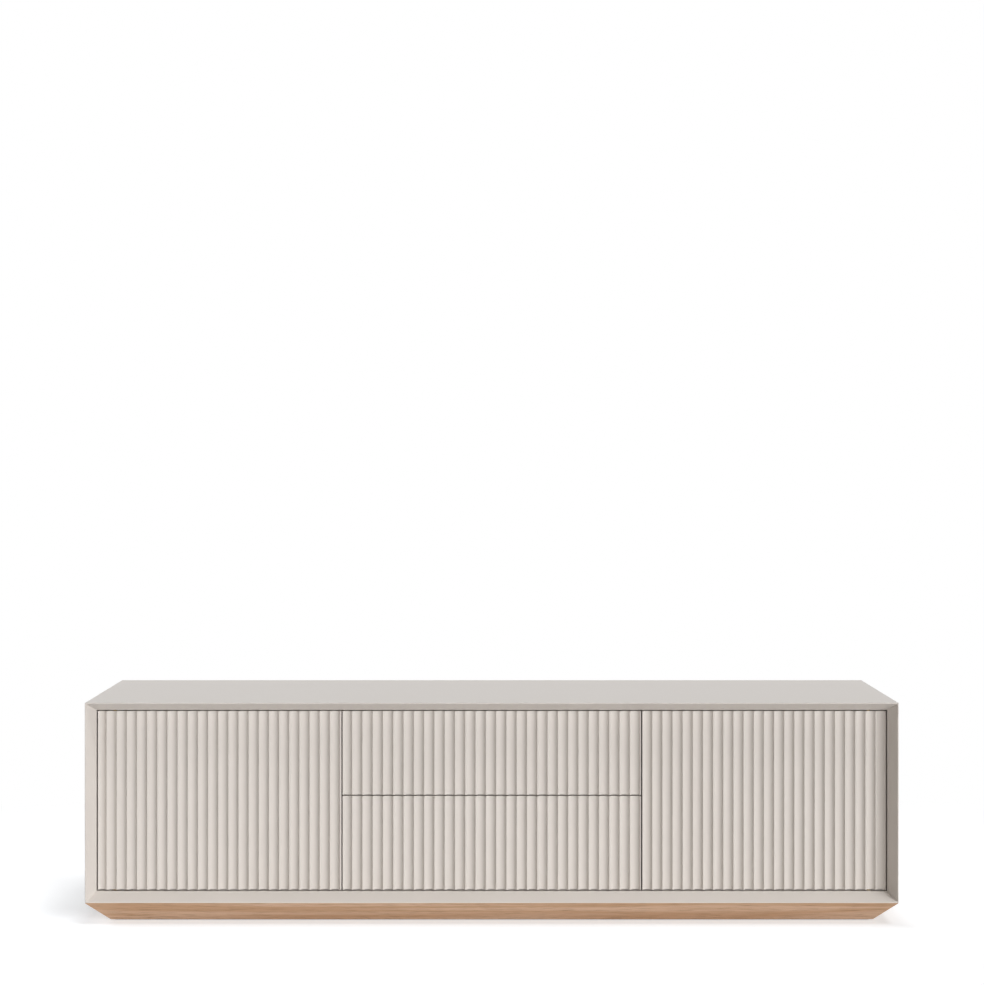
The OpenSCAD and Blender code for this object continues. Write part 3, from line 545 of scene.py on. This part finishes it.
def loose_parts(node):
    """The separate solids of a CAD node, each as a list of its points."""
    shape = bmesh.new()
    shape.from_mesh(frame["nodes"][node].data)
    bmesh.ops.remove_doubles(shape, verts=shape.verts, dist=WELD)
    waiting, parts = set(shape.verts), []
    for start in shape.verts:
        if start in waiting:
            waiting.remove(start)
            part = [start]
            for vert in part:
                for edge in vert.link_edges:
                    other = edge.other_vert(vert)
                    if other in waiting:
                        waiting.remove(other)
                        part.append(other)
            parts.append([vert.co.copy() for vert in part])
    shape.free()
    return parts


def box_of(points):
    """The lowest and highest corners of some points."""
    return (Vector(min(p[i] for p in points) for i in range(3)),
            Vector(max(p[i] for p in points) for i in range(3)))


def point_cloud(name, spots):
    """A mesh of bare points, each with the axis that a piece set on it takes."""
    cloud = bpy.data.meshes.new(name)
    cloud.from_pydata([place for place, _ in spots], [], [])
    cloud.attributes.new("axis", "FLOAT_VECTOR", "POINT").data.foreach_set(
        "vector", [part for _, axis in spots for part in axis])
    return cloud


def long_axes(node):
    """Where each turned piece of a node starts and which way it points: its wide end's middle and axis."""
    end_slice, spots = 0.0005, []
    for points in loose_parts(node):
        low, high = box_of(points)
        size = high - low
        run = max(range(3), key=lambda i: size[i])
        middle = (low + high) / 2
        wide = []
        for end in (low, high):
            near = [p for p in points if abs(p[run] - end[run]) < end_slice]
            wide.append(max((Vector(p) - middle).cross(Vector(int(i == run) for i in range(3))).length
                            for p in near))
        sign = 1 if wide[1] > wide[0] else -1
        axis = Vector(sign * (i == run) for i in range(3))
        middle[run] = (high if sign > 0 else low)[run]
        spots.append((middle, axis))
    return spots


countersunk = dict(dome=0.0, head_radius=0.0032, head_height=0.0018, shank_radius=0.0016,
                   cross_width=0.0008, cross_length=0.0036, cross_depth=0.0011)
pan_headed = dict(dome=1.0, head_radius=0.0035, head_height=0.002, shank_radius=0.0016,
                  cross_width=0.0009, cross_length=0.004, cross_depth=0.0012)
for seed, node in enumerate(("plinth_screws", "hardware_screws", "left_door_screws", "right_door_screws",
                             "upper_drawer_screws", "lower_drawer_screws")):
    lengths = {}
    for spot, points in zip(long_axes(node), loose_parts(node)):
        low, high = box_of(points)
        lengths.setdefault(round(max(high - low), 4), []).append(spot)
    made = [made_by(screws, f"{node}_{i}", point_cloud(node, spots), length=length, seed=seed,
                    finish=zinc_plate, **countersunk)
            for i, (length, spots) in enumerate(lengths.items())]
    for other in made[1:]:
        both = bmesh.new()
        both.from_mesh(made[0].data)
        both.from_mesh(other.data)
        both.to_mesh(made[0].data)
        both.free()
        bpy.data.objects.remove(other)
    stands_for(made[0], node)

# A pan head's place is on the surface that it stands on, under its top
spots = [(middle - pan_headed["head_height"] * axis, axis) for middle, axis in long_axes("back_panel_screws")]
stands_for(made_by(screws, "back_panel_pan_screws", point_cloud("back_screws", spots), length=0.018, seed=11,
                   finish=zinc_plate, **pan_headed),
           "back_panel_screws")

# ---------------------------------------------------------------- cable grommets, glides and shelf pins
# ABS grommets pushed into the back panel from behind, their flanges rounded over. Nail-on glides of black
# nylon under the plinth. Steel pegs with a pad, pushed into bored holes, carry the shelves.

moulded_abs, tree = new_material("moulded_grey_abs")
place = add(tree, "ShaderNodeTexCoord").outputs["Object"]
# Spark-eroded tool texture, about 0.4 mm, drawn at 0.7 mm so that it shows
spark = add(tree, "ShaderNodeTexNoise", {"Vector": place, "Scale": 1400.0, "Detail": 2.0, "Roughness": 0.5})
skin = add(tree, "ShaderNodeBump", {"Height": spark.outputs["Fac"], "Strength": 0.35, "Distance": 0.0001})
tint = add(tree, "ShaderNodeMix", {0: spark.outputs["Fac"], 6: linear("#8B8B89"), 7: linear("#939391")},
           data_type="RGBA")
abs_skin = add(tree, "ShaderNodeBsdfPrincipled", {
    "Base Color": tint.outputs[2], "Roughness": 0.48, "IOR": 1.5, "Normal": skin.outputs[0]})
add(tree, "ShaderNodeOutputMaterial", {"Surface": abs_skin.outputs[0]})

moulded_nylon, tree = new_material("moulded_black_nylon")
place = add(tree, "ShaderNodeTexCoord").outputs["Object"]
# Nylon moulds with a slightly waxy, uneven shine
flow = add(tree, "ShaderNodeTexNoise", {"Vector": place, "Scale": 300.0, "Detail": 3.0, "Roughness": 0.6})
gloss = add(tree, "ShaderNodeMapRange", {"Value": flow.outputs["Fac"], "To Min": 0.34, "To Max": 0.5})
tint = add(tree, "ShaderNodeMix", {0: flow.outputs["Fac"], 6: linear("#2F2F30"), 7: linear("#383839")},
           data_type="RGBA")
nylon_skin = add(tree, "ShaderNodeBsdfPrincipled", {
    "Base Color": tint.outputs[2], "Roughness": gloss.outputs[0], "IOR": 1.53})
add(tree, "ShaderNodeOutputMaterial", {"Surface": nylon_skin.outputs[0]})

bright_steel, tree = new_material("rolled_bright_steel")
place = add(tree, "ShaderNodeTexCoord").outputs["Object"]
# Cold-rolled strip keeps fine lines along its length
rolled = add(tree, "ShaderNodeVectorMath", {0: place, 1: (2600.0, 12.0, 2600.0)},
             operation="MULTIPLY").outputs[0]
lines = add(tree, "ShaderNodeTexNoise", {"Vector": rolled, "Scale": 1.0, "Detail": 2.0, "Roughness": 0.5})
gloss = add(tree, "ShaderNodeMapRange", {"Value": lines.outputs["Fac"], "To Min": 0.16, "To Max": 0.3})
tint = add(tree, "ShaderNodeMix", {0: lines.outputs["Fac"], 6: linear("#C3C5C7"), 7: linear("#D2D3D4")},
           data_type="RGBA")
steel_skin = add(tree, "ShaderNodeBsdfPrincipled", {
    "Base Color": tint.outputs[2], "Metallic": 1.0, "Roughness": gloss.outputs[0]})
add(tree, "ShaderNodeOutputMaterial", {"Surface": steel_skin.outputs[0]})


def turn(outline, steps=64):
    """A turned shape about Z from an outline of (radius, height) points. A radius of 0 is a closed pole."""
    shape = bmesh.new()
    rings = [[shape.verts.new((r * math.cos(math.tau * i / steps), r * math.sin(math.tau * i / steps), z))
              for i in range(steps)] for r, z in outline]
    for lower, upper in zip(rings, rings[1:]):
        for i in range(steps):
            j = (i + 1) % steps
            shape.faces.new((lower[i], lower[j], upper[j], upper[i]))
    bmesh.ops.remove_doubles(shape, verts=shape.verts, dist=1e-7)
    bmesh.ops.recalc_face_normals(shape, faces=shape.faces)
    return shape


def rounded(radius, height, fillet, up=1, steps=6):
    """Outline points of a rim rounded to a fillet, from its side round onto its flat end."""
    return [(radius - fillet + fillet * math.cos(math.pi / 2 * i / steps),
             height + up * (fillet * math.sin(math.pi / 2 * i / steps) - fillet)) for i in range(steps + 1)]


# Sets copies of one turned piece on points
turned_set, given = new_tree("turned_pieces", ("Points", "Geometry"), ("Pattern", "Object"),
                             ("Turn", "Float"), ("Seed", "Int"), ("Finish", "Material"))
pattern = add(turned_set, "GeometryNodeObjectInfo", {"Object": given["Pattern"]}).outputs["Geometry"]
placed = add(turned_set, "GeometryNodeGroup", {
    "Points": given["Points"], "Piece": pattern, "Turn": given["Turn"], "Seed": given["Seed"],
    "Finish": given["Finish"]}, node_tree=setting)
add(turned_set, "NodeGroupOutput", {"Result": placed.outputs[0]})


def set_turned(name, shape, spots, finish, seed):
    """Sets a turned shape on each spot, as one piece."""
    pattern = solid(f"{name}_pattern", shape, finish)
    piece = made_by(turned_set, name, point_cloud(name, spots), pattern=pattern, turn=math.tau, seed=seed,
                    finish=finish)
    bpy.data.objects.remove(pattern)
    return piece


panel_low, panel_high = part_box("back_panel")
panel_t = panel_high.y - panel_low.y
bore_r, tube_r, flange_r, flange_t = 0.0275, 0.03, 0.034, 0.002
bore_chamfer, tube_chamfer, flange_fillet, lead_in_fillet = 0.0006, 0.0004, 0.0016, 0.0008
spots = []
for points in loose_parts("cable_grommets"):
    low, high = box_of(points)
    spots.append((((low.x + high.x) / 2, panel_low.y, (low.z + high.z) / 2), (0, 1, 0)))
flange = rounded(flange_r, panel_t + flange_t, flange_fillet)
lead_in = [(2 * bore_r - r, z) for r, z in reversed(rounded(bore_r, panel_t + flange_t, lead_in_fillet))]
outline = [(bore_r, bore_chamfer), (bore_r + bore_chamfer, 0), (tube_r - tube_chamfer, 0),
           (tube_r, tube_chamfer), (tube_r, panel_t), (flange_r, panel_t), *flange, *lead_in,
           (bore_r, bore_chamfer)]
stands_for(set_turned("cable_grommet_rings", turn(outline, 96), spots, moulded_abs, 21), "cable_grommets")

spots = []
for points in loose_parts("glides"):
    low, high = box_of(points)
    spots.append((((low.x + high.x) / 2, (low.y + high.y) / 2, low.z), (0, 0, 1)))
nail_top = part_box("glides")[1].z
glide_r, glide_h, glide_fillet = (high.x - low.x) / 2, 0.002, 0.0012
nail_r, nail_point = 0.0015, 0.001
outline = [(0, 0), *reversed(rounded(glide_r, 0, glide_fillet, up=-1)), (glide_r, glide_h),
           (nail_r, glide_h), (nail_r, nail_top - nail_point), (0, nail_top)]
stands_for(set_turned("nailed_glides", turn(outline, 40), spots, moulded_nylon, 22), "glides")

pin_r = 0.0005
stands_for(solid("shelf_pin_pegs", ease(merged("shelf_pins"), pin_r), bright_steel), "shelf_pins")

# ---------------------------------------------------------------- the fluted fronts
# Doors and drawer fronts of 22 mm MDF. A round-nosed cutter runs hollow flutes down the whole face, side
# by side, and leaves narrow crests between them. All edges are eased before the lacquer goes on.

fluting, given = new_tree(
    "fluted_board", ("Origin", "Vector"), ("Width", "Float"), ("Height", "Float"), ("Thickness", "Float"),
    ("Flutes", "Float"), ("Flute Depth", "Float"), ("Crest", "Float"), ("Shift", "Float"),
    ("Steps", "Float"), ("Finish", "Material"))
place = add(fluting, "GeometryNodeInputPosition").outputs[0]
place = add(fluting, "ShaderNodeSeparateXYZ", {0: place}).outputs
known = {socket.name: socket for socket in given} | {axis: place[axis] for axis in "XYZ"}
for result, operation, *values in (
    ("pitch", "DIVIDE", "Width", "Flutes"),
    ("hollow", "SUBTRACT", "pitch", "Crest"),
    ("half", "MULTIPLY", "hollow", 0.5),
    ("half squared", "MULTIPLY", "half", "half"),
    ("sum", "MULTIPLY_ADD", "Flute Depth", "Flute Depth", "half squared"),
    ("two deep", "MULTIPLY", "Flute Depth", 2.0),
    ("radius", "DIVIDE", "sum", "two deep"),
    ("sine", "DIVIDE", "half", "radius"),
    ("opening", "ARCSINE", "sine"),
    # Lines across the face are counted from the left: so many steps to each flute
    ("lines", "MULTIPLY_ADD", "Flutes", "Steps", "Steps"),
    ("last", "SUBTRACT", "lines", 1.0),
    ("from left", "MULTIPLY_ADD", "last", 0.5, "X"),
    ("line", "ROUND", "from left"),
    ("flutes over", "DIVIDE", "line", "Steps"),
    # A hair more, so that rounding can't drop a line to the flute before
    ("flutes over", "ADD", "flutes over", 0.001),
    ("flute", "FLOOR", "flutes over"),
    ("before", "MULTIPLY", "flute", "Steps"),
    ("step", "SUBTRACT", "line", "before"),
    ("last step", "SUBTRACT", "Steps", 1.0),
    ("share", "DIVIDE", "step", "last step"),
    ("share", "MULTIPLY_ADD", "share", 2.0, -1.0),
    ("angle", "MULTIPLY", "share", "opening"),
    ("angle sine", "SINE", "angle"),
    ("flute middle", "SUBTRACT", "flute", "Shift"),
    ("flute middle", "ADD", "flute middle", 0.5),
    ("flute middle", "MULTIPLY", "flute middle", "pitch"),
    ("x", "MULTIPLY_ADD", "angle sine", "radius", "flute middle"),
    ("x", "MAXIMUM", "x", 0.0),
    ("x", "MINIMUM", "x", "Width"),
    # How far the hollow is cut in at x
    ("aside", "SUBTRACT", "x", "flute middle"),
    ("aside", "MULTIPLY", "aside", "aside"),
    ("in", "MULTIPLY", "radius", "radius"),
    ("in", "SUBTRACT", "in", "aside"),
    ("in", "SQRT", "in"),
    ("in", "SUBTRACT", "in", "radius"),
    ("in", "ADD", "in", "Flute Depth"),
    ("in", "MAXIMUM", "in", 0.0),
    ("behind", "GREATER_THAN", "Y", 0.0),
    ("wood left", "SUBTRACT", "Thickness", "in"),
    ("y", "MULTIPLY_ADD", "behind", "wood left", "in"),
    ("z", "ADD", "Z", 0.5),
    ("z", "MULTIPLY", "z", "Height"),
):
    known[result] = add(fluting, "ShaderNodeMath", {i: known.get(v, v) for i, v in enumerate(values)},
                        operation=operation).outputs[0]
size = add(fluting, "ShaderNodeCombineXYZ", {0: known["last"], 1: 1.0, 2: 1.0}).outputs[0]
blank = add(fluting, "GeometryNodeMeshCube", {"Size": size, "Vertices X": known["lines"]}).outputs[0]
spot = add(fluting, "ShaderNodeCombineXYZ", {0: known["x"], 1: known["y"], 2: known["z"]}).outputs[0]
spot = add(fluting, "ShaderNodeVectorMath", {0: spot, 1: given["Origin"]}, operation="ADD").outputs[0]
board = add(fluting, "GeometryNodeSetPosition", {"Geometry": blank, "Position": spot}).outputs[0]
board = add(fluting, "GeometryNodeMergeByDistance", {"Geometry": board, "Distance": 0.00001}).outputs[0]
board = add(fluting, "GeometryNodeRealizeInstances", {"Geometry": board}).outputs[0]
board = add(fluting, "GeometryNodeSetMaterial", {"Geometry": board, "Material": given["Finish"]}).outputs[0]
add(fluting, "NodeGroupOutput", {"Result": board})


flute_depth, crest, crest_r, lines_to_a_flute = 0.0056, 0.0008, 0.00025, 15.0


def fluted(node, flutes, shift):
    """A fluted front in its CAD node's place, with every edge and crest eased."""
    low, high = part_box(node)
    rough = made_by(fluting, f"{node}_board", origin=low, width=high.x - low.x, height=high.z - low.z,
                    thickness=high.y - low.y, flutes=flutes, flute_depth=flute_depth, crest=crest,
                    shift=shift, steps=lines_to_a_flute, finish=satin_lacquer)
    shape = bmesh.new()
    shape.from_mesh(rough.data)
    bpy.data.objects.remove(rough)
    folds = [e for e in shape.edges if e.is_manifold and e.is_convex and e.calc_face_angle() > FOLD]
    bmesh.ops.bevel(shape, geom=folds, offset=crest_r, segments=3, profile=0.5, affect="EDGES",
                    clamp_overlap=True)
    return shape


def add_block(shape, low, high):
    """Adds a rectangular block to a shape."""
    for vert in bmesh.ops.create_cube(shape, size=1.0)["verts"]:
        vert.co = Vector((low[i] + high[i]) / 2 + vert.co[i] * (high[i] - low[i]) for i in range(3))


def cut_boxes(shape, boxes):
    """Cuts square recesses out of a shape."""
    blocks = bmesh.new()
    for low, high in boxes:
        add_block(blocks, low, high)
    pair = []
    for label, part in (("worked", shape), ("cutters", blocks)):
        mesh = bpy.data.meshes.new(label)
        part.to_mesh(mesh)
        part.free()
        pair.append(in_scene(label, mesh))
    worked, cutters = pair
    cut = worked.modifiers.new("recess", "BOOLEAN")
    cut.object, cut.operation, cut.solver = cutters, "DIFFERENCE", "EXACT"
    plain_mesh(worked)
    result = bmesh.new()
    result.from_mesh(worked.data)
    for thing in pair:
        bpy.data.objects.remove(thing)
    return result


# Each leaf has a tenth of a millimetre round it in its recess, which is open at the door's end. The flutes
# start before the left edge by a share of their pitch
room_round, past = 0.0001, 0.001
door_flutes = 24.0
for side, shift in (("left", 0.12), ("right", 0.0)):
    door_low, door_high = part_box(f"{side}_door")
    recesses = []
    for points in loose_parts(f"{side}_door_leaves"):
        low, high = box_of(points)
        low, high = low - Vector([room_round] * 3), high + Vector([room_round] * 3)
        if low.z > (door_low.z + door_high.z) / 2:
            high.z += past
        else:
            low.z -= past
        recesses.append((low, high))
    board = cut_boxes(fluted(f"{side}_door", door_flutes, shift), recesses)
    stands_for(solid(f"{side}_door_board", board, satin_lacquer), f"{side}_door")

# ---------------------------------------------------------------- pivot hinges
# Brass plates let into the top and bottom boards carry a turned pin that stands in a brass leaf let into
# each end of the door. The brass is brushed along its length and left bare.

brushed_brass, tree = new_material("brushed_brass")
place = add(tree, "ShaderNodeTexCoord").outputs["Object"]
# Strokes of a fine belt, 0.1 mm apart, drawn at 0.4 mm so that they show
strokes = add(tree, "ShaderNodeVectorMath", {0: place, 1: (25.0, 2500.0, 2500.0)},
              operation="MULTIPLY").outputs[0]
belt = add(tree, "ShaderNodeTexNoise", {"Vector": strokes, "Scale": 1.0, "Detail": 2.0, "Roughness": 0.5})
gloss = add(tree, "ShaderNodeMapRange", {"Value": belt.outputs["Fac"], "To Min": 0.22, "To Max": 0.42})
tint = add(tree, "ShaderNodeMix", {0: belt.outputs["Fac"], 6: linear("#A98C52"), 7: linear("#BB9D61")},
           data_type="RGBA")
brass_skin = add(tree, "ShaderNodeBsdfPrincipled", {
    "Base Color": tint.outputs[2], "Metallic": 1.0, "Roughness": gloss.outputs[0]})
add(tree, "ShaderNodeOutputMaterial", {"Surface": brass_skin.outputs[0]})

brass_r = 0.0003
for node in ("pivot_plates", "left_door_leaves", "right_door_leaves"):
    stands_for(solid(f"{node}_brass", ease(merged(node), brass_r), brushed_brass), node)

# ---------------------------------------------------------------- push latches
# A grey ABS body is screwed to each partition. A push on the front lets its black nylon plunger spring
# out 14 mm, and the plunger's tip meets a steel disc set in the front's back face.

latch_r = 0.0008
stands_for(solid("latch_bodies", ease(merged("latch_housings"), latch_r), moulded_abs), "latch_housings")


def facing_front(node):
    """The front end's middle of each loose part of a node, its axis, and the part's length and radius."""
    found = []
    for points in loose_parts(node):
        low, high = box_of(points)
        found.append((((low.x + high.x) / 2, high.y, (low.z + high.z) / 2), (0, -1, 0)))
    return found, high.y - low.y, (high.z - low.z) / 2


root_chamfer, tip_fillet = 0.0004, 0.0011
for seed, node in enumerate(("left_door_plunger", "right_door_plunger", "upper_drawer_plungers",
                             "lower_drawer_plungers")):
    spots, length, radius = facing_front(node)
    outline = [(0, 0), (radius - root_chamfer, 0), (radius, root_chamfer),
               *rounded(radius, length, tip_fillet), (0, length)]
    stands_for(set_turned(f"{node}_nylon", turn(outline, 32), spots, moulded_nylon, 30 + seed), node)

strike_t, stem_r, strike_fillet = 0.001, 0.0015, 0.0004
for seed, node in enumerate(("left_door_strike", "right_door_strike", "upper_drawer_strikes",
                             "lower_drawer_strikes")):
    spots, length, radius = facing_front(node)
    outline = [(0, 0), *reversed(rounded(radius, 0, strike_fillet, up=-1)), (radius, strike_t),
               (stem_r, strike_t), (stem_r, length), (0, length)]
    stands_for(set_turned(f"{node}_discs", turn(outline, 48), spots, bright_steel, 40 + seed), node)

# ---------------------------------------------------------------- the drawers
# Boxes of 15 mm birch ply with a 6 mm ply bottom in grooves, edges sanded round and clear lacquered, so
# that the plies show on every edge. Four screws from inside hold each fluted front.

birch_ply, tree = new_material("clear_lacquered_birch_ply")
grain = add(tree, "ShaderNodeAttribute", attribute_name="wood").outputs["Vector"]
drawn = add(tree, "ShaderNodeVectorMath", {0: grain, 1: (8.0, 150.0, 150.0)}, operation="MULTIPLY").outputs[0]
fibres = add(tree, "ShaderNodeTexNoise", {"Vector": drawn, "Scale": 1.0, "Detail": 5.0, "Roughness": 0.62})
veneer = add(tree, "ShaderNodeMix", {0: fibres.outputs["Fac"], 6: linear("#D2BC98"), 7: linear("#F0E4CE")},
             data_type="RGBA")
# Every other ply lies across the grain and so is darker on the edge
ply_t = 0.00137
depth = add(tree, "ShaderNodeSeparateXYZ", {0: grain}).outputs["Z"]
ply = add(tree, "ShaderNodeMath", {0: depth, 1: ply_t}, operation="DIVIDE").outputs[0]
ply = add(tree, "ShaderNodeMath", {0: ply}, operation="FLOOR").outputs[0]
crossed = add(tree, "ShaderNodeMath", {0: ply, 1: 2.0}, operation="MODULO").outputs[0]
edge = add(tree, "ShaderNodeMix", {0: fibres.outputs["Fac"], 6: linear("#AE8860"), 7: linear("#C4A079")},
           data_type="RGBA")
tone = add(tree, "ShaderNodeMix", {0: crossed, 6: veneer.outputs[2], 7: edge.outputs[2]}, data_type="RGBA")
skin = add(tree, "ShaderNodeBump", {"Height": fibres.outputs["Fac"], "Strength": 0.15, "Distance": 0.0002})
sealed = add(tree, "ShaderNodeBsdfPrincipled", {
    "Base Color": tone.outputs[2], "Roughness": 0.42, "IOR": 1.5, "Normal": skin.outputs[0]})
add(tree, "ShaderNodeOutputMaterial", {"Surface": sealed.outputs[0]})

drawer_flutes, drawer_shift, box_r = 29.0, 0.065, 0.0007
for level in ("upper", "lower"):
    front = f"{level}_drawer_front"
    board = fluted(front, drawer_flutes, drawer_shift)
    stands_for(solid(f"{front}_board", board, satin_lacquer), front)
    for part, along, through in (("left_side", Y, X), ("right_side", Y, X), ("box_front", X, Y),
                                 ("back", X, Y), ("bottom", X, Z)):
        node = f"{level}_drawer_{part}"
        board = with_grain(ease(merged(node), box_r), along, through)
        stands_for(solid(f"{node}_ply", board, birch_ply), node)

# ---------------------------------------------------------------- ball-bearing runners
# Three members of rolled steel nest in each other: the outer one on the partition, the middle one between
# two rows of balls, and the inner one on the drawer's side. Their edges are rolled into raceways.

partition_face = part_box("right_partition")[0].x
steel_t = 0.0012


def rolled(node, name, path, finish):
    """Rolls a strip of steel along a path of (distance from the partition, height) on every member."""
    points = [Vector(point) for point in path]
    edges = ([], [])
    for i, point in enumerate(points):
        run = (points[min(i + 1, len(points) - 1)] - points[max(i - 1, 0)]).normalized()
        for edge, sign in zip(edges, (1, -1)):
            edge.append(point + sign * steel_t / 2 * Vector((-run.y, run.x)))
    outline = edges[0] + edges[1][::-1]
    shape = bmesh.new()
    for part in loose_parts(node):
        low, high = box_of(part)
        side = math.copysign(1, low.x + high.x)
        rings = [[shape.verts.new((side * (partition_face - x), y, (low.z + high.z) / 2 + z))
                  for x, z in outline] for y in (low.y, high.y)]
        shape.faces.new(rings[0])
        shape.faces.new(rings[1][::-1])
        for i in range(len(outline)):
            j = (i + 1) % len(outline)
            shape.faces.new((rings[0][i], rings[1][i], rings[1][j], rings[0][j]))
    bmesh.ops.recalc_face_normals(shape, faces=shape.faces)
    return stands_for(solid(name, shape, finish), node)


def raceway(web, bend, near, far, half, dip):
    """Half of a member's path: up its web, round a bend, and over a raceway that dips by so much."""
    bend_steps, race_steps = 6, 12
    side = math.copysign(1, far - web)
    path = [(web, 0.0), (web, half / 2)]
    for i in range(bend_steps + 1):
        swing = math.pi / 2 * i / bend_steps
        path.append((web + side * bend * (1 - math.cos(swing)), half - bend + bend * math.sin(swing)))
    middle = (near + far) / 2
    for i in range(race_steps + 1):
        x = near + (far - near) * i / race_steps
        path.append((x, half - dip * (1 - ((x - middle) / (far - middle)) ** 2)))
    return path


def both_halves(path):
    """A whole path from its upper half."""
    return [(x, -z) for x, z in reversed(path[1:])] + path


# For each kind of member, in metres: how far its web lies from the partition, the radius of its bends, where
# its raceway starts and ends, half its height, and how far the raceway dips, or bulges where it is below 0
for node, web, bend, near, far, half, dip, finish in (
    ("runner_cabinet_members", 0.0006, 0.0015, 0.0024, 0.0094, 0.0209, -0.001, zinc_plate),
    ("upper_middle_members", 0.0027, 0.0012, 0.0042, 0.0106, 0.0183, 0.0, bright_steel),
    ("lower_middle_members", 0.0027, 0.0012, 0.0042, 0.0106, 0.0183, 0.0, bright_steel),
    ("upper_drawer_members", 0.0121, 0.0012, 0.0104, 0.0044, 0.0147, 0.0008, zinc_plate),
    ("lower_drawer_members", 0.0121, 0.0012, 0.0104, 0.0044, 0.0147, 0.0008, zinc_plate),
):
    rolled(node, f"{node}_rolled", both_halves(raceway(web, bend, near, far, half, dip)), finish)

# The balls sit in pockets of a thin pressed cage, with their middles just inside its face. A cage's strip
# reaches further from its middle than its balls do
ball_r, balls_to_a_cage, ball_in, past_balls, cage_r = 0.0011, 8, 0.0012, 0.0019, 0.0003
balls, given = new_tree("cage_balls", ("Points", "Geometry"), ("Radius", "Float"), ("Seed", "Int"),
                        ("Finish", "Material"))
ball = add(balls, "GeometryNodeMeshUVSphere", {"Segments": 24, "Rings": 16, "Radius": given["Radius"]})
ball = add(balls, "GeometryNodeSetShadeSmooth", {"Geometry": ball.outputs[0]}).outputs[0]
placed = add(balls, "GeometryNodeGroup", {
    "Points": given["Points"], "Piece": ball, "Seed": given["Seed"], "Finish": given["Finish"]},
    node_tree=setting)
add(balls, "NodeGroupOutput", {"Result": placed.outputs[0]})

for seed, level in enumerate(("upper", "lower")):
    node = f"{level}_ball_cages"
    strips, spots = bmesh.new(), []
    for points in loose_parts(node):
        low, high = box_of(points)
        middle = (low.x + high.x) / 2
        face_low, face_high = box_of([p for p in points if abs(p.x - middle) > past_balls])
        lies_low = face_low.z - low.z < high.z - face_high.z
        ball_z = face_low.z + ball_in if lies_low else face_high.z - ball_in
        spacing = (high.y - low.y) / balls_to_a_cage
        for i in range(balls_to_a_cage):
            spots.append(((middle, low.y + (i + 0.5) * spacing, ball_z), (0, 0, 1)))
        add_block(strips, face_low, face_high)
    bmesh.ops.bevel(strips, geom=strips.edges[:], offset=cage_r, segments=2, profile=0.5, affect="EDGES")
    cages = solid(f"{node}_strips", strips, zinc_plate)
    run = made_by(balls, f"{node}_balls", point_cloud(node, spots), radius=ball_r, seed=50 + seed,
                  finish=bright_steel)
    for piece in (cages, run):
        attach(piece, frame["nodes"][node]["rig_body"])
        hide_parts(node)
